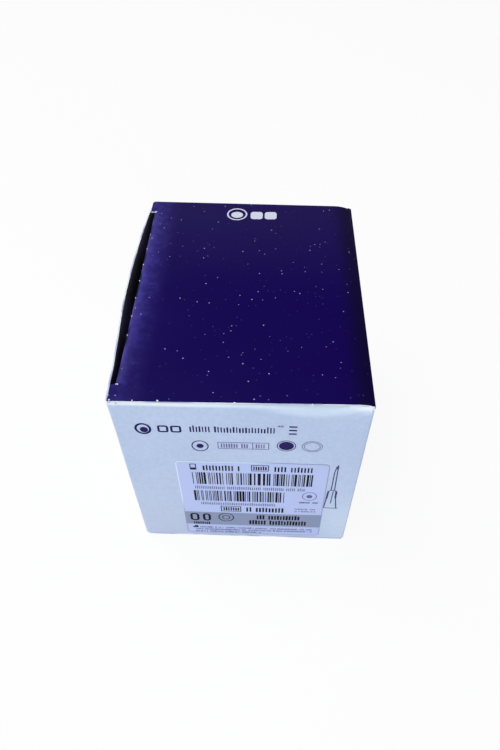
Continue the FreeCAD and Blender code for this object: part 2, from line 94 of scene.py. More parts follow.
def feed(socket, value):
    """Links a Value to a socket, or sets the socket to a plain number, colour or vector."""
    if isinstance(value, Value):
        socket.id_data.links.new(value.socket, socket)
    else:
        socket.default_value = value


def compute(operation, *operands):
    """A Math node of the operands, of which at least one is a Value."""
    graph = next(operand for operand in operands if isinstance(operand, Value)).socket.id_data
    node = graph.nodes.new("ShaderNodeMath")
    node.operation = operation
    for socket, operand in zip(node.inputs, operands):
        feed(socket, operand)
    return Value(node.outputs[0])


class Graph:
    """A node graph being made. node() adds a node: its settings first, then its sockets."""

    def __init__(self, tree):
        self.tree = tree

    def node(self, kind, sockets=None, output=0, stops=None, **settings):
        node = self.tree.nodes.new(kind)
        for name, setting in settings.items():
            setattr(node, name, setting)
        if stops:
            while len(node.color_ramp.elements) < len(stops):
                node.color_ramp.elements.new(0.5)
            for element, (position, colour) in zip(node.color_ramp.elements, stops):
                element.position = position
                element.color = colour
        for name, value in (sockets or {}).items():
            feed(node.inputs[name], value)
        return Value(node.outputs[output])

    def mix(self, share, first, second):
        """The first colour, with a share of it replaced by the second."""
        sockets = {0: share, 6: first, 7: second}
        return self.node("ShaderNodeMix", sockets, output=2, data_type="RGBA")


def rise(value, low, high):
    """0 where a Value is below low, 1 where it is above high, smooth between."""
    sockets = {"Value": value, "From Min": low, "From Max": high}
    graph = Graph(value.socket.id_data)
    return graph.node("ShaderNodeMapRange", sockets, interpolation_type="SMOOTHSTEP")


class Finish(Graph):
    """A material being made, on the object's own coordinates."""

    def __init__(self, name):
        self.material = bpy.data.materials.new(name)
        self.material.use_nodes = True
        super().__init__(self.material.node_tree)
        self.shader = self.tree.nodes["Principled BSDF"]
        self.place = self.node("ShaderNodeTexCoord", output="Object")

    def along(self, axis):
        """The distance along an axis, in millimetres."""
        split = self.node("ShaderNodeSeparateXYZ", {0: self.place}, output="XYZ".index(axis))
        return split * 1000

    def noise(self, scale, detail=2.0, roughness=0.5):
        """Soft noise from 0 to 1, with about `scale` blots to the metre."""
        sockets = {"Vector": self.place, "Scale": scale, "Detail": detail, "Roughness": roughness}
        return self.node("ShaderNodeTexNoise", sockets)

    def coats(self, base, *coats):
        """The base colour under further ones, each given as (share, colour as it is seen)."""
        for share, colour in coats:
            base = self.mix(share, base, tint(*colour))
        return base

    def relief(self, height, depth):
        """Bumps of the given height pattern, `depth` millimetres deep."""
        return self.node("ShaderNodeBump", {"Height": height, "Distance": depth * MM})

    def done(self, **sockets):
        """Sets the shader's sockets, written with _ for a space, and returns the material."""
        for name, value in sockets.items():
            feed(self.shader.inputs[name.replace("_", " ")], value)
        return self.material


def tint(red, green, blue):
    """A colour as it is seen, 0 to 255, as the linear colour that a shader takes."""
    shares = [shade / 255 for shade in (red, green, blue)]
    return (*(((s + 0.055) / 1.055) ** 2.4 if s > 0.0404 else s / 12.92 for s in shares), 1.0)


def add_object(name, data):
    """An object in the scene with the given mesh, lamp or camera."""
    thing = bpy.data.objects.new(name, data)
    bpy.context.scene.collection.objects.link(thing)
    return thing


lens = bpy.data.cameras.new("camera")
lens.lens = 29.124
lens.clip_start = 0.01
camera = add_object("camera", lens)
turn, tilt, roll = (radians(angle) for angle in (2.463, 40.090, -0.611))
camera.matrix_world = (
    Matrix.Translation(Vector((7.769, -163.804, 238.471)) * MM)
    @ Matrix.Rotation(turn, 4, "Z")
    @ Matrix.Rotation(tilt, 4, "X")
    @ Matrix.Rotation(roll, 4, "Z")
)
bpy.context.scene.camera = camera
bpy.context.scene.view_settings.view_transform = "Standard"

lamp_aim = Vector((0, 0, 0.05))
for name, place, width, height, watts, colour in (
    ("overhead soft box", (-0.32, 0.1, 1.0), 0.45, 0.45, 5.6, (1.0, 0.99, 0.98)),
    ("back left soft box", (-0.8, 0.7, 0.5), 0.5, 0.5, 1.8, (1.0, 0.99, 0.98)),
    ("front soft box", (0.35, -1.0, 0.35), 0.8, 0.5, 4.0, (0.96, 0.98, 1.0)),
    ("top front soft box", (-0.45, -0.6, 0.85), 0.5, 0.4, 3.8, (0.93, 0.97, 1.0)),
):
    lamp = bpy.data.lights.new(name, "AREA")
    lamp.shape = "RECTANGLE"
    lamp.size, lamp.size_y = width, height
    lamp.energy, lamp.color = watts, colour
    soft_box = add_object(name, lamp)
    soft_box.location = place
    soft_box.rotation_euler = (lamp_aim - Vector(place)).to_track_quat("-Z", "Y").to_euler()


def light_room():
    """A white room, bright at eye level and on the left, dim overhead and on the right."""
    world = bpy.data.worlds.new("room")
    world.use_nodes = True
    bpy.context.scene.world = world
    graph = Graph(world.node_tree)
    direction = graph.node("ShaderNodeTexCoord", output="Generated")
    to_right = graph.node("ShaderNodeSeparateXYZ", {0: direction}, output="X")
    height = graph.node("ShaderNodeSeparateXYZ", {0: direction}, output="Z")
    grey = [(0.0, 0.85), (0.25, 0.5), (0.55, 0.12), (0.8, 0.02)]
    stops = [(place, (shade, shade, shade, 1)) for place, shade in grey]
    brightness = graph.node("ShaderNodeValToRGB", {0: height}, stops=stops)
    sockets = {"Value": to_right, "From Min": -0.8, "From Max": 0.8, "To Min": 1.15, "To Max": 0.12}
    from_left = graph.node("ShaderNodeMapRange", sockets)
    seen = graph.node("ShaderNodeLightPath", output="Is Camera Ray")
    background = world.node_tree.nodes["Background"]
    feed(background.inputs["Color"], graph.mix(seen, brightness, WHITE))
    feed(background.inputs["Strength"], compute("MAXIMUM", seen, from_left))


light_room()


def mesh_of(work, name):
    """A finished mesh from one that was being worked on."""
    mesh = bpy.data.meshes.new(name)
    work.to_mesh(mesh)
    work.free()
    return mesh


def lay_floor():
    """A white floor that keeps a soft shadow, and looks white in every direction."""
    work = bmesh.new()
    bmesh.ops.create_grid(work, x_segments=1, y_segments=1, size=6.0)
    floor = add_object("floor", mesh_of(work, "floor"))
    finish = Finish("floor")
    paper = finish.mix(finish.noise(3.0), (0.86, 0.86, 0.86, 1), (0.88, 0.88, 0.88, 1))
    floor.data.materials.append(finish.done(Base_Color=paper, Roughness=0.9))
    paint = Value(finish.shader.outputs[0])
    glow = finish.node("ShaderNodeEmission", {"Color": WHITE, "Strength": 1.0})
    camera_ray, glossy_ray, transmission_ray = (
        finish.node("ShaderNodeLightPath", output=f"Is {kind} Ray")
        for kind in ("Camera", "Glossy", "Transmission")
    )
    seen = compute("MAXIMUM", camera_ray, compute("MAXIMUM", glossy_ray, transmission_ray))
    glowing = 0.93  # the share of white glow in what is seen; the rest takes the shadows
    shown = finish.node("ShaderNodeMixShader", {0: seen * glowing, 1: paint, 2: glow})
    feed(finish.tree.nodes["Material Output"].inputs["Surface"], shown)


lay_floor()

# The carton's body: one sheet of white-coated folding boxboard, creased round four walls and glued,
# with a flap inside the back wall, three layers of flaps underneath and two dust flaps turned in at
# the top. The free top edge of the left wall has bowed outwards.

body_low, body_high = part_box("carton_body")
lid_low, lid_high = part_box("lid")
LEFT, RIGHT = lid_low.x / MM, lid_high.x / MM
FRONT, BACK = body_low.y / MM, body_high.y / MM
TOP = body_high.z / MM
BOARD = 0.5
CORNER = 0.8  # outside radius of the pressed folds
WALL_BOW = LEFT - body_low.x / MM
LID_TOP = lid_high.z / MM
SHOULDER_START, SHOULDER_DROP = RIGHT - 7.0, 1.2  # the curve down to the lid's crease
DROP_SKEW = 0.4  # the share of that drop that its front end lacks and its back end adds
CREASE_Z = LID_TOP - SHOULDER_DROP
SHOULDER_RADIUS = ((RIGHT - SHOULDER_START) ** 2 + SHOULDER_DROP**2) / (2 * SHOULDER_DROP)


def drop_share(y):
    """How much of its drop the lid's right side has: less at the front, more at the back."""
    return 1 + DROP_SKEW * y / BACK


def steps(first, last, longest):
    """Evenly spaced numbers from first to last, no further apart than longest."""
    count = max(1, ceil(abs(last - first) / longest))
    return [first + (last - first) * i / count for i in range(count + 1)]


def ease(value, low, high):
    """0 below low, 1 above high, smooth between."""
    share = min(1.0, max(0.0, (value - low) / (high - low)))
    return share * share * (3 - 2 * share)


def crushed_corner(x, z):
    """The small diagonal creases where the front panel has been knocked near its right corner."""
    raised = 0.0
    for x0, z0, x1, z1, height, width in (
        (30.5, 81.4, 41.0, 89.2, 0.32, 0.8),
        (33.0, 80.6, 41.0, 86.6, -0.24, 0.9),
        (36.5, 82.0, 41.0, 84.2, 0.16, 0.7),
    ):
        length = hypot(x1 - x0, z1 - z0)
        along = ((x - x0) * (x1 - x0) + (z - z0) * (z1 - z0)) / length
        across = ((z - z0) * (x1 - x0) - (x - x0) * (z1 - z0)) / length
        fade = ease(along, 0, 4) * (1 - ease(along, length - 1, length + 3))
        raised += height * fade * exp(-((across / width) ** 2))
    return raised


def top_fold_radius(x):
    """The front panel's top fold is crisp at the left, and softest short of the right corner."""
    return 1.0 + 2.6 * ease(x, 0, 26) - 1.3 * ease(x, 26, 40)


def sheet_path(v, fold_z, radius=0.0, bent_to=inf):
    """(how far in, how high) the point v along a wall's sheet lies. Its bottom turns in at fold_z.

    Its top turns in with the given radius, bending only up to the point bent_to."""
    turn_in, turn_under = TOP - radius, fold_z + CORNER
    if radius and v > turn_in:
        angle = min((min(v, bent_to) - turn_in) / radius, pi / 2)
        flat = v - turn_in - radius * angle
        depth = radius * (1 - cos(angle)) + flat * sin(angle)
        return depth, turn_in + radius * sin(angle) + flat * cos(angle)
    if v < turn_under:
        angle = min((turn_under - v) / CORNER, pi / 2)
        flat = turn_under - v - CORNER * angle
        return CORNER * (1 - cos(angle)) + flat, turn_under - CORNER * sin(angle)
    return 0.0, v


DUST_FOLD = 1.5  # outside radius of the dust flaps' springy folds
wall_turn = TOP - DUST_FOLD  # where a wall stops being upright for its dust flap
dust_left, dust_right, dust_reach, dust_corner = -38.0, 33.4, 34.0, 4.0


def give(shift, along, half, z):
    """How far a panel stands out of true, in long shallow waves that end short of its folds."""
    place = along + shift
    slow = sin(place * 0.071 + 0.6) * sin(z * 0.052 + 0.9)
    quick = sin(place * 0.19 + z * 0.11) * sin(z * 0.17 - place * 0.05 + 2.0)
    share = ease(half - abs(along), 0, 12) * ease(z, 0, 10) * (1 - ease(z, 74, 88))
    return (0.10 * slow + 0.035 * quick) * share


def corner_lean(z):
    """How far the fold between left and front walls leans out to the left, pulled by the bow."""
    return 0.35 * ease(z, -20, 60) + 0.25 * ease(z, 72, TOP)


def front_point(x, v, last_bend=inf):
    depth, z = sheet_path(v, 2 * BOARD, top_fold_radius(x), last_bend)
    knock = crushed_corner(x, z) * (1 - ease(depth, 0, 2))
    lean = corner_lean(z) * ease(-x, 34, RIGHT - CORNER)
    return x - lean, FRONT + depth - give(0, x, RIGHT, z) - knock, z


def back_point(x, v, last_bend=inf):
    depth, z = sheet_path(v, 2 * BOARD, DUST_FOLD, last_bend)
    return x, BACK - depth + give(31, x, RIGHT, z), z


def left_point(y, v):
    depth, z = sheet_path(v, BOARD)
    bow = WALL_BOW * (z / TOP) * max(0.0, 1 - (y / (BACK - CORNER)) ** 2)
    bow += 0.65 * ease(z, 60, TOP) * ease(y, -32, 0) * ease(BACK - CORNER - y, 0, 6)
    bow += corner_lean(z) * ease(-y, 36, BACK - CORNER)
    return LEFT + depth - bow - give(57, y, BACK, z), y, z


def right_point(y, v):
    depth, z = sheet_path(v, 0.0)
    return RIGHT - depth + give(83, y, BACK, z), y, z


def corner_point(toward_x, toward_y, angle, v):
    """A point of the pressed fold between two walls, which face the given ways."""
    x = toward_x * (RIGHT - CORNER) + CORNER * cos(angle)
    y = toward_y * (BACK - CORNER) + CORNER * sin(angle)
    if toward_x < 0 and toward_y < 0:
        return x - corner_lean(v), y, v
    if toward_x < 0 or toward_y > 0:
        return x, y, v
    lean, height = sheet_path(v, -CORNER, top_fold_radius(RIGHT), wall_turn)
    faces_front = max(0.0, -sin(angle))
    return x, y + lean * faces_front, v + (height - v) * faces_front


def shoulder_fall(x, y, radius):
    """How far the lid's curved shoulder, or what lies close under it, has come down."""
    past = max(0.0, x - SHOULDER_START)
    return (radius - sqrt(radius**2 - past**2)) * drop_share(y)


def under_lid(x, y):
    """Where the walls' cut top edges end, below the lid's curved shoulder."""
    if x < SHOULDER_START:
        return TOP
    fall = shoulder_fall(x, y, SHOULDER_RADIUS - (LID_TOP - TOP))
    return max(TOP - fall, LID_TOP - SHOULDER_DROP * drop_share(y) - 0.1)


wall_foot = 2 * BOARD + CORNER
wall_rows = steps(wall_foot, 74, 1.8) + steps(74, wall_turn, 0.7)[1:]
edge_x, edge_y = RIGHT - CORNER, BACK - CORNER
margin_left = steps(-edge_x, dust_left, 1.1)
flap_columns = steps(dust_left, 24, 1.6) + steps(24, dust_right, 0.7)[1:]
margin_right = steps(dust_right, edge_x, 0.7)
front_columns = margin_left + flap_columns[1:] + margin_right[1:]
side_columns = steps(-edge_y, edge_y, 1.8)


def corner_columns(toward_x, toward_y, start):
    """The fold's inner columns, from the wall that it starts on to the next one."""
    angles = steps(start, start + pi / 2, pi / 10)[1:-1]
    return [partial(corner_point, toward_x, toward_y, angle) for angle in angles]


def upright(point, place):
    """A column of a wall that only leans above its turn, and isn't folded in."""
    return partial(point, place, last_bend=wall_turn)


to_right = [partial(right_point, y) for y in side_columns]
to_left = [partial(left_point, y) for y in reversed(side_columns)]
right_way_round = [upright(front_point, x) for x in margin_right]
right_way_round += corner_columns(1, -1, -pi / 2) + to_right + corner_columns(1, 1, 0.0)
right_way_round += [upright(back_point, x) for x in reversed(margin_right)]
left_way_round = [upright(back_point, x) for x in reversed(margin_left)]
left_way_round += corner_columns(-1, 1, pi / 2) + to_left + corner_columns(-1, -1, pi)
left_way_round += [upright(front_point, x) for x in margin_left]
front_flap_way = [partial(front_point, x) for x in flap_columns]
back_flap_way = [partial(back_point, x) for x in reversed(flap_columns)]
all_round = front_flap_way + right_way_round[1:] + back_flap_way[1:] + left_way_round[1:]


def raised_edge(columns):
    """Rows from where a wall would turn in up to its cut top edge."""
    tops = [under_lid(*column(TOP)[:2]) for column in columns]
    return [
        [column(wall_turn + (top - wall_turn) * share) for column, top in zip(columns, tops)]
        for share in (0, 0.5, 1)
    ]


def dust_flap_sides(depth):
    """The left and right edges of a dust flap at a distance in from its wall."""
    left = dust_left + 2 * ease(depth, 4, 8) + 2 * ease(depth, 8, 34)
    right = dust_right - 5 * max(0.0, (depth - 3) / 31)
    into_corner = max(0.0, depth - (dust_reach - dust_corner))
    rounding = dust_corner - sqrt(max(0.0, dust_corner**2 - into_corner**2))
    return left + rounding, right - rounding


def dust_flap(point):
    """Rows of points over the fold and along a dust flap, from the row where the wall turns."""
    flap_rows = [0, 0.4, 0.8, 1.2, 1.6, 2.0, 2.4, 3, 4, 5, 6.2, 7.5]
    flap_rows += steps(9, 29, 1.8) + steps(30, 33.4, 0.6) + [33.8, 34.2, 34.5]
    limit = BACK - dust_reach
    rows = []
    for past in flap_rows:
        v = wall_turn + past
        row = []
        for x in flap_columns:
            depth = abs(point(x, v)[1] - copysign(BACK, point(x, v)[1]))
            low, high = dust_flap_sides(min(depth, dust_reach))
            share = (x - dust_left) / (dust_right - dust_left)
            moved = low + (high - low) * share
            across, inward, z = point(moved if depth > 3 else x, v)
            inward = copysign(max(abs(inward), limit), inward)
            row.append((across, inward, z - lid_droop(across, inward)))
        rows.append(row)
    return rows


def lid_droop(x, y):
    """How far the lid's tuck side has sagged between the two ears, and the dust flaps with it."""
    return 0.45 * (1 - ease(x, -39, -30)) * (1 - ease(abs(y), 38, 45))


def bottom_flap(columns, point, wall_fold, reach, spread):
    """Rows of a bottom flap, from its free edge to the row where the wall stands up."""
    turn = wall_fold + CORNER
    flat_end = turn - CORNER * pi / 2
    rows = [[point(c * spread, v) for c in columns] for v in steps(flat_end - reach, flat_end, 6.0)]
    rows += [[point(c, v) for c in columns] for v in steps(flat_end, turn, 0.3)[1:]]
    if turn < wall_foot:
        rows.append([point(c, wall_foot) for c in columns])
    return rows


def glue_flap():
    """Rows of the flap that is stuck to the inside of the back wall, its ends cut at a slant."""
    left, width, taper = LEFT + BOARD, 12, 5
    rows = []
    for height in steps(0, 1, 0.03):
        row = []
        for share in steps(1, 0, 0.1):
            low, high = 3 * BOARD + taper * share, TOP - 1.3 - taper * share
            x, y, z = back_point(left + width * share, low + (high - low) * height)
            row.append((x, y - BOARD, z))
        rows.append(row)
    return rows


def skin(work, lines):
    """Faces between each line of corners and the next. A ring ends with its first corner again."""
    for low, high in zip(lines, lines[1:]):
        for i in range(len(low) - 1):
            corners = dict.fromkeys((low[i], low[i + 1], high[i + 1], high[i]))
            if len(corners) > 2:
                work.faces.new(corners)


def folded_sheet(name, patches, thickness, materials):
    """A sheet from patches of points in mm, thickened inwards. Takes outside, inside, cut edge."""
    work = bmesh.new()
    for rows in patches:
        skin(work, [[work.verts.new(Vector(point) * MM) for point in row] for row in rows])
    bmesh.ops.remove_doubles(work, verts=work.verts, dist=0.004 * MM)
    sheet = add_object(name, mesh_of(work, name))
    for material in materials:
        sheet.data.materials.append(material)
    solid = sheet.modifiers.new("board", "SOLIDIFY")
    solid.thickness = thickness * MM
    solid.offset = -1
    solid.use_even_offset = True
    solid.material_offset = 1
    solid.material_offset_rim = 2
    return settled(sheet)


def settled(thing):
    """Turns what an object's modifiers make into its own plain mesh."""
    graph = bpy.context.evaluated_depsgraph_get()
    mesh = bpy.data.meshes.new_from_object(thing.evaluated_get(graph))
    thing.modifiers.clear()
    thing.data = mesh
    mesh.shade_smooth()
    mesh.set_sharp_from_angle(angle=radians(35))
    return thing


def coated_board():
    """Clay-coated board, faintly mottled with fibres, with painted highlights on its folds and
    painted floor light low down.
    """
    finish = Finish("coated_board")
    blots = finish.noise(22.0, 3.0)
    fibres = finish.noise(900.0, 4.0, 0.65)
    mottle = finish.noise(620.0, 1.5, 0.4)
    across, up = finish.along("X"), finish.along("Z")
    reach = rise(across, 0, 22) * 4.0 - rise(across, 24, 40) * 2.2
    at_wall = rise(abs(finish.along("Y")), BACK - 4.5, BACK - 2.5)
    # painted highlight: the top fold drawn paler for light from above on its upturned face,
    # reaching further down at the right
    painted_fold_highlight = rise(up + reach, 88.6, 91.8) * at_wall
    soft_part = rise(across, -16, 8) * (1 - rise(across, 29, 39))
    # painted highlight just under the lid's edge, drawn over the shade that the lid casts on the
    # fold
    painted_highlight_under_lid = rise(up, 89.0, 90.6) * at_wall * (0.85 - soft_part * 0.6)
    # painted light from the floor low on the front: paler towards the lower right, greyer at the
    # lower left
    painted_floor_light_right = rise(across, 22, 39) * (1 - rise(up, 12, 48))
    painted_floor_light_left = (1 - rise(across, -34, 4)) * (1 - rise(up, 2, 60))
    base = finish.coats(
        finish.mix(rise(blots, 0.3, 0.7), tint(181, 198, 230), tint(189, 206, 236)),
        (rise(mottle, 0.32, 0.68) * 0.4, (172, 189, 220)),
        (rise(fibres, 0.35, 0.75) * 0.3, (202, 215, 238)),
        (painted_fold_highlight * 0.6, (218, 236, 255)),
        (painted_highlight_under_lid, (240, 250, 255)),
        (painted_floor_light_right * 0.5, (216, 232, 253)),
        (painted_floor_light_left * 0.5, (190, 200, 224)),
    )
    height = mottle * 0.7 + fibres * 0.3
    return finish.done(
        Base_Color=base,
        Roughness=0.42 + finish.noise(60.0) * 0.16,
        Normal=finish.relief(height, 0.05),
        Specular_IOR_Level=0.35,
    )


def bare_board():
    """The uncoated inner face: grey pulp with longer fibres and darker flecks, its grey deepened as
    painted shade.
    """
    finish = Finish("bare_board")
    fibres = finish.noise(1300.0, 5.0, 0.7)
    flecks = rise(finish.noise(700.0, 2.0), 0.68, 0.74)
    # the grey is partly the board's own and partly painted shade, deepened so the slot by the bowed
    # left wall looks dark
    pulp = finish.mix(fibres, tint(108, 104, 98), tint(134, 130, 122))
    base = finish.coats(pulp, (flecks * 0.5, (92, 84, 74)))
    return finish.done(
        Base_Color=base,
        Roughness=0.85,
        Normal=finish.relief(fibres, 0.05),
        Specular_IOR_Level=0.2,
    )


def cut_board():
    """The board's cut edge: white pulp in fine layers, a little greyer in places."""
    finish = Finish("cut_board")
    layers = finish.noise(2600.0, 3.0, 0.6)
    grey = finish.mix(layers, tint(160, 170, 214), tint(186, 196, 232))
    white = finish.mix(layers, tint(216, 224, 250), tint(242, 246, 255))
    base = finish.mix(rise(finish.noise(90.0, 1.0), 0.42, 0.56), grey, white)
    return finish.done(Base_Color=base, Roughness=0.8, Normal=finish.relief(layers, 0.03))


board_finishes = [coated_board(), bare_board(), cut_board()]
body_patches = [
    [[column(v) for column in all_round] for v in wall_rows],
    raised_edge(right_way_round),
    raised_edge(left_way_round),
    dust_flap(front_point),
    [row[::-1] for row in dust_flap(back_point)],
]
end_flap, end_spread = 34.2, (RIGHT - 0.4) / edge_x
side_flap, side_spread = 80.0, (BACK - 0.4) / edge_y
for columns, point, fold, reach, spread in (
    (front_columns, front_point, 2 * BOARD, end_flap, end_spread),
    (front_columns[::-1], back_point, 2 * BOARD, end_flap, end_spread),
    (side_columns, right_point, 0.0, side_flap, side_spread),
    (side_columns[::-1], left_point, BOARD, side_flap, side_spread),
):
    body_patches.append(bottom_flap(columns, point, fold, reach, spread))
body_patches.append(glue_flap())
folded_body = folded_sheet("folded_body", body_patches, BOARD, board_finishes)
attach(folded_body, "carton")
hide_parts("carton_body")

# The lid: the top panel of the same sheet, navy and varnished. Its right side curves down to the
# crease above the right wall. On the left two ears lie flat on the wall's end, and between them the
# sheet folds down into the tuck flap, cut free of the ears by two short slits.

EAR_EDGE, LID_END = BACK - 6.5, BACK - 0.2
tuck_radius, tuck_lean = 1.5, radians(2.5)
tuck_x = LEFT + 1.2 + tuck_radius
tuck_arc = tuck_radius * (pi / 2 + tuck_lean)
tuck_straight, tuck_side, tuck_corner = 12.45, BACK - 1.6, 8.0
slit = 0.7


def lid_point(x, y):
    """A point of the lid's top face: flat, sagging near the tuck fold, curved down to the hinge."""
    fall = shoulder_fall(x, y, SHOULDER_RADIUS)
    wave = 0.05 * sin(x * 0.11 + 1.0) * sin(y * 0.07 + 0.4) * (1 - ease(x, 25, 36))
    return x, y, LID_TOP - fall - lid_droop(x, y) + wave * (1 - ease(abs(y), 40, 45))


def tuck_half_width(below):
    """Half the tuck flap's width, at a distance below the end of its fold."""
    if below < slit:
        return EAR_EDGE
    shoulder = (tuck_side - EAR_EDGE) / 3
    from_slit, from_end = below - slit, tuck_straight - below
    top = shoulder - sqrt(max(0.0, shoulder**2 - max(0.0, shoulder - from_slit) ** 2))
    end = tuck_corner - sqrt(max(0.0, tuck_corner**2 - max(0.0, tuck_corner - from_end) ** 2))
    return tuck_side - max(top, end)


def tuck_point(down, share):
    """A point of the tuck fold or flap, by its distance down the sheet and its place across it."""
    y = share * tuck_half_width(down - tuck_arc)
    x, _, top = lid_point(tuck_x, share * EAR_EDGE)
    angle = min(down / tuck_radius, pi / 2 + tuck_lean)
    straight = max(0.0, down - tuck_arc)
    x += -tuck_radius * sin(angle) + straight * sin(tuck_lean)
    return x, y, top - tuck_radius * (1 - cos(angle)) - straight * cos(tuck_lean)


lid_columns = steps(tuck_x, -28, 0.8) + steps(-28, SHOULDER_START, 2.0)[1:]
lid_columns += steps(SHOULDER_START, RIGHT, 0.5)[1:]
below_fold = [tuck_straight, 12.35, 12.1, 11.7, 11.2, 10.5, 9.7, 8.8, 7.8, 6.6, 5.4, 4.2, 3.2]
below_fold += [2.4, 2.0, 1.6, 1.3, 1.05, 0.85, slit + 0.001, slit, 0.35, 0]
flap_downs = [tuck_arc + below for below in below_fold]
fold_downs = steps(tuck_arc, 0, 0.25)[1:-1]
lid_rows = []
for share in steps(-1, 1, 0.022):
    down_part = [tuck_point(down, share) for down in flap_downs + fold_downs]
    lid_rows.append(down_part + [lid_point(x, share * EAR_EDGE) for x in lid_columns])
ear_columns = [LEFT + d for d in (0, 0.05, 0.15, 0.35, 0.6, 0.9, 1.2, 1.8)] + lid_columns


def ear(side, corner, skew):
    """Rows of the lid's end beyond the tuck flap, at the front (-1) or the back (1).

    The end is cut a little out of square: each millimetre to the left makes the lid skew longer."""
    rows = []
    for share in steps(0, 1, 0.2):
        row = []
        for x in ear_columns:
            short = min(corner, max(0.0, LEFT + corner - x))
            end = LID_END - skew * x - corner + sqrt(corner**2 - short**2)
            row.append(lid_point(x, side * (EAR_EDGE + (end - EAR_EDGE) * share)))
        rows.append(row)
    return rows if side > 0 else rows[::-1]


front_ear, back_ear = ear(-1, 0.15, 0.011), ear(1, 1.2, 0.019)


def navy_varnish():
    """Navy ink under satin varnish: dusty, lightly rubbed with a painted sheen, cracked paler on
    the tuck fold with a painted highlight, and painted shade on the fold and the right shoulder.
    """
    finish = Finish("navy_varnish")
    blots = finish.noise(30.0, 3.0)
    across, back = finish.along("X"), finish.along("Y")
    # lightly rubbed varnish and a painted sheen: paler near the tuck fold for light from the left,
    # stronger towards the back
    wear_and_painted_sheen = 0.35 + rise(finish.noise(260.0, 4.0, 0.7), 0.35, 0.8)
    wear_and_painted_sheen = wear_and_painted_sheen * (1 - rise(across, -40, -28))
    stretches = finish.noise(75.0, 1.0)
    between_ears = 1 - rise(abs(back), EAR_EDGE - 0.4, EAR_EDGE)
    # painted highlight along the tuck fold's outer face, lit from the left
    painted_fold_highlight = (1 - rise(across, -40.2, -35)) * between_ears
    # painted shade: the tuck fold darkened between the highlight's stretches, over the line that
    # the lamp lights
    painted_fold_shade = (1 - rise(across, -39.3, -38.4)) * (1 - rise(stretches, 0.46, 0.6))
    painted_fold_shade = painted_fold_shade * between_ears
    # paler stretches on the tuck fold: partly cracked varnish, partly painted highlight
    worn_and_painted_highlight = (1 - rise(across, -39.6, -38.9)) * rise(stretches, 0.44, 0.54) * between_ears
    cells = {"Vector": finish.place, "Scale": 470.0}  # specks of dust, one to a cell
    to_speck = finish.node("ShaderNodeTexVoronoi", cells)
    chance = finish.node("ShaderNodeTexVoronoi", cells, output="Color")
    lottery = finish.node("ShaderNodeSeparateXYZ", {0: chance})
    speck = (1 - rise(to_speck, 0.06, 0.13)) * (0.06 + rise(lottery, 0.5, 1.0) * 0.94)
    base = finish.coats(
        finish.mix(blots, tint(17, 2, 78), tint(21, 5, 85)),
        (wear_and_painted_sheen * (0.22 + rise(back, -45, 20) * 0.26), (80, 71, 180)),
        (painted_fold_highlight * 0.22, (112, 103, 204)),
        (painted_fold_shade * 0.75, (8, 3, 42)),
        (worn_and_painted_highlight * 0.5, (112, 103, 204)),
        # painted reflection of the room, greying the lid towards the back
        (rise(back, -10, 50) * 0.13, (72, 63, 96)),
        # painted shade where the right shoulder curves down away from the light
        (rise(across, 31, 40) * 0.65, (16, 11, 32)),
        (speck * 0.7, (212, 212, 246)),
    )
    roughness = 0.3 + finish.noise(45.0) * 0.1 + speck * 0.4 + wear_and_painted_sheen * 0.1 + (painted_fold_shade + worn_and_painted_highlight) * 0.4
    return finish.done(
        Base_Color=base,
        Roughness=roughness,
        Normal=finish.relief(finish.noise(380.0, 3.0), 0.012),
        Specular_IOR_Level=0.09,
    )


lid_finishes = [navy_varnish(), board_finishes[1], board_finishes[2]]
folded_lid = folded_sheet("folded_lid", [lid_rows, front_ear, back_ear], BOARD, lid_finishes)
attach(folded_lid, "lid")
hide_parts("lid")

# The hinge: the lid and the right wall are one sheet, so the printed face runs on round the crease
# between them.

crease_rise = 0.06  # how far it stands outside the wall and the lid
crease_thickness = 0.04


def crease_rows():
    """Rows over the crease, from the wall up."""
    along = steps(-LID_END + 0.3, LID_END - 0.3, 4.0)
    creases = [LID_TOP - SHOULDER_DROP * drop_share(y) for y in along]
    rows = []
    on_wall = (1, -1.3), (1, -0.8), (1, -0.4), (1, -0.2), (1, -0.1), (0.8, 0), (0.3, 0.09)
    for share, lift in on_wall:
        rows.append([(RIGHT + crease_rise * share, y, z + lift) for y, z in zip(along, creases)])
    for x in (RIGHT - 0.2, RIGHT - 0.5, RIGHT - 0.9, RIGHT - 1.4):
        rows.append([(x + crease_rise * 0.3, y, lid_point(x, y)[2] + crease_rise) for y in along])
    return rows


crease = folded_sheet("hinge_crease", [crease_rows()], crease_thickness, [lid_finishes[0]] * 3)
slant = -DROP_SKEW * SHOULDER_DROP / BACK
below, above = (CREASE_Z - 0.2) * MM, (CREASE_Z + 0.1) * MM
bend_start, bend_end = (RIGHT * MM, 0, below), (RIGHT * MM, (below - above) * slant, above)
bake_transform(crease)

# The print on the front panel: navy ink straight on the board, in rows of ticks, blocks, rings and
# discs, with a thin outline drawing of a needle at the right.

INK_LIFT = 0.03


def on_front(x, z, lift=INK_LIFT):
    """A point on the front panel's own surface, raised by a lift in mm."""
    across, inward, height = front_point(x, z)
    return across, inward - lift, height


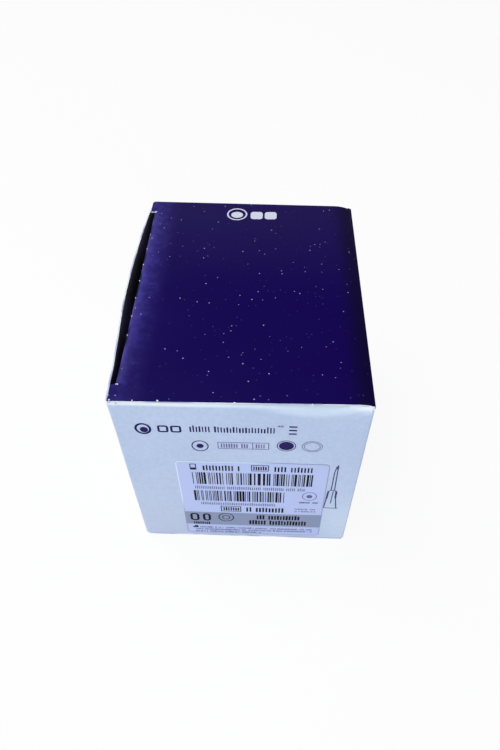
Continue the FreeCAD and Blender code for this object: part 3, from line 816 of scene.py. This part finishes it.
class Pattern(Graph):
    """A Geometry Nodes tree being made. Its sizes are named inputs; it ends with one material."""

    kinds = {int: "NodeSocketInt", float: "NodeSocketFloat", bpy.types.Object: "NodeSocketObject"}

    def __init__(self, name, **sizes):
        super().__init__(bpy.data.node_groups.new(name, "GeometryNodeTree"))
        self.sizes = sizes
        interface = self.tree.interface
        interface.new_socket("Geometry", in_out="OUTPUT", socket_type="NodeSocketGeometry")
        for label, value in sizes.items():
            interface.new_socket(label, in_out="INPUT", socket_type=self.kinds[type(value)])
        self.inputs = self.tree.nodes.new("NodeGroupInput")

    def size(self, label):
        return Value(self.inputs.outputs[label])

    def line(self, count, first, pitch, height=0.0):
        """A row of points along X, from the place of the first."""
        start = self.node("ShaderNodeCombineXYZ", {"X": first, "Z": height})
        step = self.node("ShaderNodeCombineXYZ", {"X": pitch})
        sockets = {"Count": count, "Start Location": start, "Offset": step}
        return self.node("GeometryNodeMeshLine", sockets, mode="OFFSET")

    def between(self, low, high, seed):
        """For each point a random number, or a random vector where low and high are vectors."""
        if isinstance(low, tuple):
            sockets, kind = {0: low, 1: high, "Seed": seed}, {"data_type": "FLOAT_VECTOR"}
        else:
            sockets, kind = {2: low, 3: high, "Seed": seed}, {"output": 1}
        return self.node("FunctionNodeRandomValue", sockets, **kind)

    def grow(self, name, geometry, material):
        """Runs the tree on an empty object, and returns it with the plain mesh that this makes."""
        real = self.node("GeometryNodeRealizeInstances", {0: geometry})
        coated = self.node("GeometryNodeSetMaterial", {0: real, "Material": material})
        feed(self.tree.nodes.new("NodeGroupOutput").inputs[0], coated)
        thing = add_object(name, bpy.data.meshes.new(name))
        modifier = thing.modifiers.new("pattern", "NODES")
        modifier.node_group = self.tree
        for item in self.tree.interface.items_tree:
            if item.in_out == "INPUT":
                modifier[item.identifier] = self.sizes[item.name]
        return settled(thing)


def rounded_outline(corners, radius, per_corner, per_side=1):
    """Points round four sides with rounded corners, anticlockwise from the upper right."""
    middle_x, middle_y = (sum(places) / 4 for places in zip(*corners))
    arcs = []
    for (x, y), turn in zip(corners, (0, 90, 180, 270)):
        centre_x, centre_y = x + copysign(radius, middle_x - x), y + copysign(radius, middle_y - y)
        angles = [radians(turn + 90 * k / per_corner) for k in range(per_corner + 1)]
        arcs.append([(centre_x + radius * cos(a), centre_y + radius * sin(a)) for a in angles])
    points = []
    for arc, following in zip(arcs, arcs[1:] + arcs[:1]):
        (x0, y0), (x1, y1) = arc[-1], following[0]
        shares = [k / per_side for k in range(1, per_side)]
        points += arc + [(x0 + (x1 - x0) * share, y0 + (y1 - y0) * share) for share in shares]
    return points


class Artwork:
    """Flat shapes of one ink, drawn in mm, then pressed on a panel as one piece."""

    def __init__(self):
        self.work = bmesh.new()

    def shape(self, points):
        self.work.faces.new(self.line(points))

    def line(self, points):
        return [self.work.verts.new((x, 0, z)) for x, z in points]

    def sheet(self, x0, z0, x1, z1):
        """A field of colour, cut small enough to follow the panel."""
        skin(self.work, [self.line((x, z) for x in steps(x0, x1, 2.0)) for z in steps(z0, z1, 2.0)])

    def band(self, inner, outer):
        """The strip between two closed outlines with as many points."""
        rings = [self.line(ring) for ring in (outer, inner)]
        skin(self.work, [ring + ring[:1] for ring in rings])

    def oval(self, x, z, wide, high):
        angles = steps(0, 2 * pi, pi / 24)[1:]
        return [(x + wide * cos(a), z + high * sin(a)) for a in angles]

    def disc(self, x, z, wide, high):
        self.shape(self.oval(x, z, wide, high))

    def ring(self, x, z, wide, high, line):
        self.band(self.oval(x, z, wide - line, high - line), self.oval(x, z, wide, high))

    def rounded(self, x0, z0, x1, z1, corner):
        return rounded_outline([(x1, z1), (x0, z1), (x0, z0), (x1, z0)], corner, 3)

    def block(self, x0, z0, x1, z1, corner):
        self.shape(self.rounded(x0, z0, x1, z1, corner))

    def frame(self, x0, z0, x1, z1, line, corner):
        inside = self.rounded(x0 + line, z0 + line, x1 - line, z1 - line, max(corner - line, 0.02))
        self.band(inside, self.rounded(x0, z0, x1, z1, corner))

    def stroke(self, points, width):
        """A line through some points, a little longer than they reach."""
        for (x0, z0), (x1, z1) in zip(points, points[1:]):
            length = hypot(x1 - x0, z1 - z0)
            along = Vector((x1 - x0, z1 - z0)) * (width / 2 / length)
            across = Vector((along.y, -along.x))
            start, end = Vector((x0, z0)) - along, Vector((x1, z1)) + along
            self.shape([start + across, end + across, end - across, start - across])

    def ticks(self, left, foot, width, height, pitch, thin, thick, least, chance, seed):
        """A row of upright marks by Geometry Nodes, with random widths, heights and gaps.

        The widths run from thin to thick, as shares of the pitch, and the heights from the least, a
        share of the height, to all of it. Each mark is drawn with the given chance."""
        sizes = {"Left": left, "Foot": foot, "Width": width, "Height": height, "Pitch": pitch}
        sizes.update({"Thin": thin, "Thick": thick, "Least height": least, "Chance": chance})
        row = Pattern("ticks", **{label: float(value) for label, value in sizes.items()}, Seed=seed)
        inputs = map(row.size, row.sizes)
        left, foot, width, height, pitch, thin, thick, least, chance, seed = inputs
        places = row.line(compute("FLOOR", width / pitch), left + pitch * 0.5, pitch, foot)
        flat = row.node("GeometryNodeMeshGrid", {"Vertices X": 2, "Vertices Y": 4})
        standing = {"Geometry": flat, "Translation": (0, 0, 0.5), "Rotation": (pi / 2, 0, 0)}
        mark = row.node("GeometryNodeTransform", standing)
        sockets = {"Probability": chance, "Seed": seed}
        drawn = row.node("FunctionNodeRandomValue", sockets, output=3, data_type="BOOLEAN")
        wide = row.between(thin, thick, seed + 2) * pitch
        tall = row.between(least, 1.0, seed + 1) * height
        scale = row.node("ShaderNodeCombineXYZ", {"X": wide, "Y": 1.0, "Z": tall})
        sockets = {"Points": places, "Instance": mark, "Selection": drawn, "Scale": scale}
        grown = row.grow("ticks", row.node("GeometryNodeInstanceOnPoints", sockets), None)
        self.work.from_mesh(grown.data)
        bpy.data.objects.remove(grown)

    def draw(self, **marks):
        """Draws the marks of each kind, given as rows of what that kind of mark takes."""
        for kind, rows in marks.items():
            for row in rows:
                getattr(self, kind)(*row)

    def pressed(self, name, point, material):
        """The artwork as one object, each of its points moved onto the panel by point(x, z)."""
        longest = [edge for edge in self.work.edges if edge.calc_length() > 4]
        bmesh.ops.subdivide_edges(self.work, edges=longest, cuts=3, use_grid_fill=True)
        for vert in self.work.verts:
            vert.co = Vector(point(vert.co.x, vert.co.z)) * MM
        piece = add_object(name, mesh_of(self.work, name))
        piece.data.materials.append(material)
        return piece


def ink(name, dark, light):
    """Printing ink: thin enough for the fibres to show through it a little."""
    finish = Finish(name)
    base = finish.mix(finish.noise(1100.0, 4.0, 0.6), tint(*dark), tint(*light))
    return finish.done(Base_Color=base, Roughness=0.6, Specular_IOR_Level=0.08)


front_marks = Artwork()
front_marks.draw(
    ring=(
        (-31.9, 77.5, 2.75, 3.05, 0.8),
        (-14.0, 68.2, 2.9, 3.2, 0.42),
        (14.8, 69.25, 3.2, 3.15, 0.3),
    ),
    disc=((-31.6, 77.0, 1.35, 1.5), (-14.0, 68.2, 1.2, 1.3), (14.8, 69.25, 2.5, 2.45)),
    frame=((-27.2, 75.8, -23.6, 79.6, 0.75, 0.9), (-23.0, 75.8, -19.4, 79.6, 0.75, 0.9)),
    block=[(15.3, foot, 17.9, foot + 0.75, 0.2) for foot in (75.9, 77.9, 79.9)],
    ticks=(
        (-17.0, 76.3, 28.0, 3.6, 1.0, 0.38, 0.62, 0.62, 0.9, 4),
        (11.0, 79.9, 2.6, 1.0, 0.5, 0.38, 0.62, 0.75, 0.9, 2),
    ),
)
navy_ink = ink("navy_ink", (28, 18, 84), (40, 30, 100))
front_print = front_marks.pressed("front_print", on_front, navy_ink)

outlines = Artwork()
outlines.draw(
    frame=[(-8.1, 66.8, 9.1, 70.8, 0.3, 0.2)],
    stroke=(([(3.6, 66.9), (3.6, 70.7)], 0.3), ([(33.1, 40.2), (32.9, 31.2)], 0.45)),
    ring=((23.35, 69.25, 3.45, 3.15, 0.24), (23.35, 69.25, 2.75, 2.5, 0.24)),
    ticks=(
        (-7.2, 67.5, 10.2, 2.6, 0.85, 0.38, 0.62, 0.8, 0.9, 9),
        (4.4, 67.5, 4.1, 2.6, 0.85, 0.38, 0.62, 0.8, 0.95, 5),
    ),
)
thin_ink = ink("thin_navy_ink", (92, 88, 146), (116, 114, 166))
fine_print = outlines.pressed("fine_print", on_front, thin_ink)

drawing = Artwork()
hub_top = [(31.05, 38.4), (31.4, 40.1), (32.1, 40.9), (33.5, 40.95), (34.3, 40.1), (34.6, 38.5)]
drawing.shape([(33.35, 58.7), (32.65, 56.7), (33.0, 55.6), (33.4, 56.2)])
drawing.draw(
    stroke=(
        ([(32.8, 57.0), (32.35, 53.6), (32.25, 41.1)], 0.38),
        ([(33.35, 57.4), (33.3, 54.7), (33.5, 41.1)], 0.38),
        (hub_top, 0.4),
        ([(31.35, 39.9), (31.1, 35.0)], 0.7),
        ([(34.25, 40.0), (34.35, 35.3)], 0.7),
        ([(31.05, 35.0), (30.6, 27.5), (35.8, 27.3)], 0.42),
        ([(34.4, 35.3), (35.3, 27.4)], 0.42),
    )
)
drawing_ink = ink("drawing_ink", (58, 48, 108), (80, 70, 130))
needle_drawing = drawing.pressed("needle_drawing", on_front, drawing_ink)
for print_on_front in (front_print, fine_print, needle_drawing):
    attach(print_on_front, "carton")

# The lid's mark, a ring and two blocks in white ink near the back edge, and the small nicks along
# the tuck fold and the front edge, where the board's white core shows through the ink.

lid_art = Artwork()
lid_art.draw(
    ring=[(-5.7, 44.5, 4.1, 4.0, 0.6)],
    disc=[(-5.7, 44.1, 2.4, 2.0)],
    block=((-0.2, 41.4, 4.7, 46.3, 1.2), (5.5, 41.4, 10.3, 46.3, 1.2)),
)


def on_lid(x, y):
    across, along, height = lid_point(x, y)
    return across, along, height + INK_LIFT


lid_mark = lid_art.pressed("lid_mark", on_lid, ink("white_ink", (206, 208, 232), (226, 228, 244)))
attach(lid_mark, "lid")


def torn_core():
    """Torn white pulp."""
    finish = Finish("torn_core")
    pulp = finish.mix(finish.noise(2400.0), tint(236, 238, 248), tint(255, 255, 255))
    return finish.done(Base_Color=pulp, Roughness=0.9)


def nick_places():
    """A mesh with one point for each nick: evenly spaced on the fold, by chance along the edge."""
    painted_fold_highlight = [tuck_point(1.2, (31.5 - 9.2 * i) / EAR_EDGE) for i in range(7)]
    on_edge = [lid_point(x, -LID_END) for x in (-40.2, -33.2, -25.4, -1.8, 21.9, 35.4)]
    at_slits = [tuck_point(0.4 + 0.3 * i, side) for i in range(3) for side in (-1, 1)]
    mesh = bpy.data.meshes.new("nick_places")
    mesh.from_pydata([Vector(p) * MM for p in painted_fold_highlight + on_edge + at_slits], [], [])
    return mesh


places = add_object("nick_places", nick_places())
scatter = Pattern("nicks", Places=places, Size=0.36 * MM, Seed=5)
sockets = {"Object": scatter.size("Places")}
points = scatter.node("GeometryNodeObjectInfo", sockets, output="Geometry")
sockets = {"Radius": scatter.size("Size"), "Subdivisions": 2}
flake = scatter.node("GeometryNodeMeshIcoSphere", sockets)
turned = scatter.between((0, 0, 0), (3, 3, 3), scatter.size("Seed"))
squashed = scatter.between((0.5, 0.7, 0.35), (1.0, 1.3, 0.6), scatter.size("Seed"))
sockets = {"Points": points, "Instance": flake, "Rotation": turned, "Scale": squashed}
nicks = scatter.grow("nicks", scatter.node("GeometryNodeInstanceOnPoints", sockets), torn_core())
bpy.data.objects.remove(places)
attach(nicks, "lid")

# The label: a sheet of white paper with a pale violet cast, its corners rounded, rubbed down on the
# front panel.

label_low, label_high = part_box("front_label")
label_left, label_right = label_low.x / MM, label_high.x / MM
label_foot, label_head = label_low.z / MM, label_high.z / MM
LABEL_LIFT, LABEL_THICKNESS = 0.09, 0.07
label_corner = 1.8


def label_rows():
    """Rows of points from the label's foot to its head, shorter where its corners are rounded."""
    near_end = (0, 0.1, 0.3, 0.6, 1.0, 1.4)
    heights = [label_foot + d for d in near_end]
    heights += steps(label_foot + label_corner, label_head - label_corner, 1.5)
    heights += [label_head - d for d in reversed(near_end)]
    columns = len(steps(label_left, label_right, 1.5)) - 1
    shares = [k / columns for k in range(columns + 1)]
    rows = []
    for z in heights:
        into_corner = max(0.0, label_corner - min(z - label_foot, label_head - z))
        inset = label_corner - sqrt(max(0.0, label_corner**2 - into_corner**2))
        low, high = label_left + inset, label_right - inset
        rows.append([on_front(low + (high - low) * share, z, LABEL_LIFT) for share in shares])
    return rows


def label_stock():
    """Smooth, faintly cloudy label paper, its cut rim painted pale towards the light and painted
    grey in shade away from it.
    """
    finish = Finish("label_stock")
    clouds = finish.noise(40.0, 3.0)
    fibres = finish.noise(1500.0, 4.0, 0.6)
    across = finish.along("X") - (label_left + label_right) / 2
    up = finish.along("Z") - (label_foot + label_head) / 2
    past_x = compute("MAXIMUM", abs(across) - ((label_right - label_left) / 2 - label_corner), 0)
    past_z = compute("MAXIMUM", abs(up) - ((label_head - label_foot) / 2 - label_corner), 0)
    from_core = compute("SQRT", past_x * past_x + past_z * past_z)
    rim = rise(from_core, label_corner - 0.5, label_corner - 0.3)
    lit_side = rise(up - across, 14, 30)
    base = finish.coats(
        finish.mix(clouds, tint(177, 192, 240), tint(184, 198, 243)),
        (fibres * 0.3, (194, 206, 246)),
        # painted highlight on the rim's lit side and painted shade on the other side
        (rim * lit_side, (222, 232, 253)),
        (rim * (1 - lit_side) * 0.8, (140, 148, 184)),
    )
    return finish.done(Base_Color=base, Roughness=0.5, Normal=finish.relief(fibres, 0.012))


label_finishes = [label_stock()] * 3
paper_label = folded_sheet("paper_label", [label_rows()], LABEL_THICKNESS, label_finishes)
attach(paper_label, "carton")
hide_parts("front_label")

# The label's print, in black by a thermal printer over a pre-printed grey band: rows of ticks, two
# bar codes of random bars, and plain frames, blocks and rings.

on_band = partial(on_front, lift=LABEL_LIFT + INK_LIFT / 2)
on_label = partial(on_front, lift=LABEL_LIFT + INK_LIFT)

band = Artwork()
band.sheet(label_left + 0.02, 10.9, label_right - 0.02, 21.4)
grey_band = band.pressed("grey_band", on_band, ink("grey_ink", (138, 149, 180), (146, 157, 188)))

label_marks = Artwork()
label_marks.draw(
    frame=(
        (-18.6, 53.1, -16.3, 57.0, 0.35, 0.2),
        (3.0, 53.0, 9.2, 56.9, 0.3, 0.2),
        (-8.9, 22.5, -1.0, 26.9, 0.35, 0.2),
        (-21.4, 14.1, -17.8, 20.2, 0.95, 1.6),
        (-16.4, 14.1, -13.2, 20.2, 0.95, 1.6),
    ),
    block=(
        (-18.2, 53.3, -16.7, 54.5, 0.1),
        (-21.0, 7.9, -18.8, 8.9, 0.1),
        (-20.2, 8.9, -18.8, 9.7, 0.1),
    ),
    ring=((-7.1, 17.5, 3.1, 3.45, 0.42), (-7.1, 17.5, 1.6, 1.8, 0.36)),
    ticks=(
        (-15.4, 52.8, 15.8, 3.6, 1.12, 0.4, 0.55, 0.85, 0.92, 3),
        (3.6, 53.7, 5.0, 2.5, 0.83, 0.5, 0.7, 0.85, 1.0, 6),
        (10.9, 52.8, 14.0, 3.5, 1.16, 0.4, 0.55, 0.85, 0.95, 8),
        (-18.7, 43.2, 43.8, 8.2, 0.27, 1.0, 1.04, 1.0, 0.5, 217),
        (-19.3, 30.8, 34.8, 7.7, 0.27, 1.0, 1.04, 1.0, 0.5, 150),
        (-8.1, 23.3, 6.5, 2.8, 0.92, 0.5, 0.7, 0.85, 1.0, 31),
        (0.7, 22.8, 14.9, 3.7, 1.24, 0.5, 0.65, 0.85, 0.95, 32),
        (-20.5, 11.1, 6.8, 2.2, 0.85, 0.55, 0.75, 0.85, 1.0, 33),
        (4.8, 16.7, 17.3, 3.6, 1.15, 0.55, 0.75, 0.85, 0.88, 34),
        (1.9, 12.2, 23.0, 3.7, 1.15, 0.55, 0.75, 0.85, 0.92, 35),
    ),
)
thermal_ink = ink("thermal_ink", (6, 5, 18), (16, 14, 32))
label_print = label_marks.pressed("label_print", on_label, thermal_ink)

pale_marks = Artwork()
pale_marks.draw(
    ring=[(24.65, 36.1, 2.75, 3.1, 0.3)],
    disc=[(24.65, 36.0, 1.1, 1.2)],
    ticks=(
        (-17.9, 39.7, 40.8, 2.2, 0.7, 0.4, 0.55, 0.8, 0.9, 13),
        (-16.5, 27.7, 28.9, 2.0, 0.7, 0.4, 0.55, 0.8, 0.95, 22),
        (21.1, 30.7, 7.0, 1.2, 0.5, 0.6, 0.9, 0.8, 0.95, 51),
        (-18.1, 7.9, 45.7, 1.35, 0.5, 0.4, 0.8, 0.7, 0.88, 40),
        (-19.9, 6.05, 47.5, 1.35, 0.5, 0.4, 0.8, 0.7, 0.88, 41),
        (-20.1, 4.2, 27.2, 1.35, 0.5, 0.4, 0.8, 0.7, 0.88, 42),
        (19.5, 25.4, 8.3, 1.1, 0.5, 0.4, 0.8, 0.7, 0.9, 52),
        (19.7, 23.6, 8.2, 1.1, 0.5, 0.5, 0.9, 0.7, 0.95, 53),
    ),
)
pale_ink = ink("pale_ink", (84, 84, 134), (112, 112, 160))
pale_print = pale_marks.pressed("pale_print", on_label, pale_ink)
for print_on_label in (grey_band, label_print, pale_print):
    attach(print_on_label, "carton")

# The top strips' clear film: formed over each needle into a steep-sided pocket, sealed flat to the
# paper round it.

film_low, film_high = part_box("blister_film_front")
PACKS = 5
PACK_WIDTH = (film_high.x - film_low.x) / MM / PACKS
TAB_END, TIP_END = film_high.y / MM, film_low.y / MM
PEEL_TAB, POCKET_LENGTH = 7.0, 39.5
PAPER_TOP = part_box("backing_paper_front")[1].z / MM
film_thickness = 0.2
pocket_top = film_high.z / MM
pocket_hub_end = TAB_END - PEEL_TAB + film_thickness
pocket_tip_end = TAB_END - PEEL_TAB - POCKET_LENGTH - film_thickness
pocket_hub_half, pocket_tip_half, pocket_corner = 5.4, 4.4, 1.2
# The pocket's domed walls: share of its height, then how far the sides and the ends have come in
pocket_levels = [
    (0, 0, 0), (0.03, 0.05, 0.05), (0.2, 0.2, 0.15), (0.4, 0.35, 0.25), (0.6, 0.75, 0.55),
    (0.78, 1.3, 0.9), (0.89, 1.9, 1.35), (0.96, 2.5, 1.9), (0.99, 3.0, 2.4), (1, 3.7, 3.0),
]


def film_of_one_pack():
    """A pack's film in the front column, centred on x = 0: flange, pocket walls and top."""
    work = bmesh.new()
    flange_z = PAPER_TOP + film_thickness
    levels = [(PACK_WIDTH / 2, PACK_WIDTH / 2, TAB_END, TIP_END, 0.001, flange_z)]
    for share, side, end in pocket_levels:
        halves = pocket_hub_half - side, pocket_tip_half - side
        ends = pocket_hub_end - end, pocket_tip_end + end
        levels.append((*halves, *ends, pocket_corner, flange_z + share * (pocket_top - flange_z)))
    rings = []
    for hub_half, tip_half, hub_y, tip_y, corner, z in levels:
        corners = [(hub_half, hub_y), (-hub_half, hub_y), (-tip_half, tip_y), (tip_half, tip_y)]
        outline = rounded_outline(corners, corner, 6, per_side=12)
        rings.append([work.verts.new(Vector((x, y, z)) * MM) for x, y in outline])
    skin(work, [ring + ring[:1] for ring in rings])
    work.faces.new(rings[-1])
    bmesh.ops.remove_doubles(work, verts=work.verts, dist=0.01 * MM)
    return mesh_of(work, "film_of_one_pack")


def repeat_in_top_layer(name, mesh, material):
    """Sets a piece of one pack into all packs of both top strips, as one plain mesh."""
    once = add_object(name + "_once", mesh)
    rows = Pattern(name, Piece=once, Packs=PACKS, Pitch=PACK_WIDTH * MM)
    packs, pitch = rows.size("Packs"), rows.size("Pitch")
    places = rows.line(packs, (packs - 1) * pitch * -0.5, pitch)
    piece = rows.node("GeometryNodeObjectInfo", {"Object": rows.size("Piece")}, output="Geometry")
    front = rows.node("GeometryNodeInstanceOnPoints", {"Points": places, "Instance": piece})
    back = rows.node("GeometryNodeTransform", {"Geometry": front, "Rotation": (0, 0, pi)})
    both = rows.tree.nodes.new("GeometryNodeJoinGeometry")
    rows.tree.links.new(front.socket, both.inputs[0])
    rows.tree.links.new(back.socket, both.inputs[0])
    grown = rows.grow(name, Value(both.outputs[0]), material)
    bpy.data.objects.remove(once)
    return grown


def clear_film():
    """Clear thermoformed film: nearly invisible face on, hazier where it turns away."""
    finish = Finish("clear_film")
    edge = finish.node("ShaderNodeLayerWeight", {"Blend": 0.35}, output="Facing")
    haze = finish.noise(160.0, 3.0)
    return finish.done(
        Base_Color=finish.mix(haze, tint(232, 236, 240), tint(246, 248, 250)),
        Roughness=0.1 + haze * 0.14,
        Alpha=0.12 + edge * 0.3 + haze * 0.05,
        Normal=finish.relief(finish.noise(90.0, 3.0), 0.25),
        IOR=1.48,
    )


clear_pockets = repeat_in_top_layer("clear_pockets", film_of_one_pack(), clear_film())
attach(clear_pockets, "carton")
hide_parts("blister_film_front", "blister_film_back")

# The needles of the top strips. The hub is moulded in grey polypropylene, with a female taper, two
# locking lugs and ribs to turn it by; the steel tube is bevelled and glued in its nose; the shield
# is milky polyethylene, pushed over the hub's boss.

HUB_END = TAB_END - PEEL_TAB - 1.0
NEEDLE_Z = PAPER_TOP + 3.1
RIBS = 8
AROUND = 48  # sides that a turned part has


def turned_part(profile, sides=AROUND):
    """A shape turned about the needle's axis from a closed (radius, distance) profile."""
    work = bmesh.new()
    rings = []
    for radius, distance in profile:
        ring = []
        for k in range(sides if radius else 1):
            angle = 2 * pi * k / sides
            x, z = radius * cos(angle), NEEDLE_Z + radius * sin(angle)
            ring.append(work.verts.new(Vector((x, HUB_END - distance, z)) * MM))
        rings.append([ring[k % len(ring)] for k in range(sides + 1)])
    skin(work, rings + rings[:1])
    bmesh.ops.recalc_face_normals(work, faces=work.faces)
    return work


def top_parts(kind):
    """The names of the CAD nodes of one kind in the top strips."""
    return [f"{kind}_{column}_{i + 1}" for column in ("front", "back") for i in range(PACKS)]


def hub_mesh():
    work = turned_part([
        (2.15, 0), (2.2, 0), (3.02, 0), (3.1, 0.08), (3.1, 1.12), (3.02, 1.2), (2.75, 1.25),
        (2.55, 9.4), (2.45, 9.5), (2.15, 9.5), (2.13, 13.4), (2.0, 13.7), (1.2, 16.0), (0.95, 16.4),
        (0.7, 16.5), (0.22, 16.5), (0.22, 7.5), (1.9, 7.5), (1.925, 7.4),
    ])
    axis = Matrix.Translation(Vector((0, HUB_END, NEEDLE_Z)) * MM)
    rib = [(2.35, 1.0), (3.0, 1.0), (2.9, 8.8), (2.82, 8.95), (2.35, 9.4)]
    rib_half = 0.28
    for k in range(RIBS):
        turned = axis @ Matrix.Rotation(-2 * pi * (k + 0.5) / RIBS, 4, "Y")
        sides = []
        for half in (-rib_half, rib_half):
            points = [turned @ (Vector((radius, -distance, half)) * MM) for radius, distance in rib]
            sides.append([work.verts.new(point) for point in points])
        skin(work, [side + side[:1] for side in sides])
        for side in sides:
            work.faces.new(side)
    lug_size = Vector((1.0, 1.2, 3.0)) * MM
    for side in (-1, 1):
        place = Vector((side * 3.1, HUB_END - 0.6, NEEDLE_Z)) * MM
        shape = Matrix.LocRotScale(place, None, lug_size)
        lug = bmesh.ops.create_cube(work, size=1.0, matrix=shape)
        edges = list({edge for vert in lug["verts"] for edge in vert.link_edges})
        bmesh.ops.bevel(work, geom=edges, offset=0.12 * MM, segments=2, affect="EDGES")
    bmesh.ops.recalc_face_normals(work, faces=work.faces)
    return mesh_of(work, "hub_once")


def moulded_hub():
    """Medium grey polypropylene with a soft sheen and a faint flow pattern."""
    finish = Finish("moulded_hub")
    flow = finish.noise(300.0, 2.0)
    return finish.done(
        Base_Color=finish.mix(flow, tint(118, 121, 126), tint(130, 133, 138)),
        Roughness=0.3 + finish.noise(700.0) * 0.12,
        Normal=finish.relief(finish.noise(900.0, 2.0), 0.01),
        Subsurface_Weight=0.15,
        Subsurface_Radius=(0.001, 0.001, 0.001),
    )


hubs = repeat_in_top_layer("hubs", hub_mesh(), moulded_hub())
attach(hubs, "carton")
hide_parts(*top_parts("hub"))


def shield_mesh():
    work = turned_part([
        (2.2, 9.5), (2.3, 9.45), (2.7, 9.5), (2.75, 9.6), (2.74, 10.4), (2.66, 10.5), (1.95, 33.8),
        (1.85, 34.6), (1.55, 35.2), (0.95, 35.5), (0, 35.5), (0, 34.95), (0.9, 34.9), (1.3, 34.4),
        (1.4, 33.6), (2.18, 13.5),
    ])
    return mesh_of(work, "shield_once")


def milky_shield():
    """Translucent polyethylene: milky, with a dull gloss."""
    finish = Finish("milky_shield")
    cloud = finish.noise(200.0, 3.0)
    edge = finish.node("ShaderNodeLayerWeight", {"Blend": 0.4}, output="Facing")
    return finish.done(
        Base_Color=finish.mix(cloud, tint(214, 219, 224), tint(236, 239, 242)),
        Roughness=0.32 + cloud * 0.1,
        Alpha=0.5 + edge * 0.35,
        Normal=finish.relief(finish.noise(600.0, 2.0), 0.01),
    )


shields = repeat_in_top_layer("shields", shield_mesh(), milky_shield())
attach(shields, "carton")
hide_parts(*top_parts("shield"))


def cannula_mesh():
    """The steel tube, its end ground to a slant so that the point is at the bottom."""
    outer, bore, start, end = 0.2, 0.105, 11.0, 29.5
    work = turned_part([(bore, start), (outer, start), (outer, end), (bore, end)], 20)
    low, slant = (NEEDLE_Z - outer) * MM, tan(radians(12))
    for vert in work.verts:
        if vert.co.y < (HUB_END - start - 1) * MM:
            vert.co.y += (vert.co.z - low) / slant
    return mesh_of(work, "cannula_once")


def drawn_steel():
    """Bright drawn stainless steel, with fine lines along the tube."""
    finish = Finish("drawn_steel")
    sockets = {"Vector": finish.place, "Scale": (1.0, 0.02, 1.0)}
    stretched = finish.node("ShaderNodeMapping", sockets)
    sockets = {"Vector": stretched, "Scale": 9000.0, "Detail": 2.0}
    lines = finish.node("ShaderNodeTexNoise", sockets)
    return finish.done(
        Base_Color=finish.mix(lines, tint(176, 178, 182), tint(208, 210, 214)),
        Metallic=1.0,
        Roughness=0.18 + lines * 0.15,
    )


cannulas = repeat_in_top_layer("cannulas", cannula_mesh(), drawn_steel())
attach(cannulas, "carton")
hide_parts(*top_parts("cannula"))

# The strips' backing: one sheet of white medical paper under each strip. The film is sealed to it
# with a fine embossed mesh, and both are perforated between one pack and the next.


def sealing_paper():
    finish = Finish("sealing_paper")
    fibres = finish.noise(1400.0, 4.0, 0.65)
    across, lengthwise = finish.along("X"), finish.along("Y")
    mesh_pitch = 5.2  # radians of a wave to the millimetre
    rows = compute("SINE", (across + lengthwise) * mesh_pitch)
    columns = compute("SINE", (across - lengthwise) * mesh_pitch)
    in_seal = rise(abs(lengthwise), 7.2, 7.6)
    pack = compute("FRACT", across / PACK_WIDTH + 0.5 * PACKS)
    on_line = rise(abs(pack - 0.5), 0.49, 0.494)
    dash = compute("FRACT", lengthwise * 0.55)
    cut = on_line * rise(dash, 0.36, 0.4)
    paper = finish.mix(fibres, tint(226, 228, 232), tint(242, 243, 246))
    return finish.done(
        Base_Color=finish.mix(cut * 0.6, paper, tint(96, 98, 104)),
        Roughness=0.75,
        Normal=finish.relief(fibres * 0.4 + (rows + columns) * in_seal * 0.25, 0.05),
    )


def recoat(kind, material):
    """Gives its finish to every CAD node whose name starts with kind."""
    for name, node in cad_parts.items():
        if name.startswith(kind):
            node.data.materials.clear()
            node.data.materials.append(material)


recoat("backing_paper_", sealing_paper())

# The strips below the top layer: the same packs, each strip shut and pressed under the next one, so
# only the film's milky outside is ever seen.


def stacked_film():
    finish = Finish("stacked_film")
    haze = finish.noise(120.0, 3.0)
    return finish.done(
        Base_Color=finish.mix(haze, tint(196, 202, 208), tint(222, 226, 230)),
        Roughness=0.2 + haze * 0.15,
        Normal=finish.relief(finish.noise(70.0, 3.0), 0.3),
    )


recoat("sealed_strip_", stacked_film())
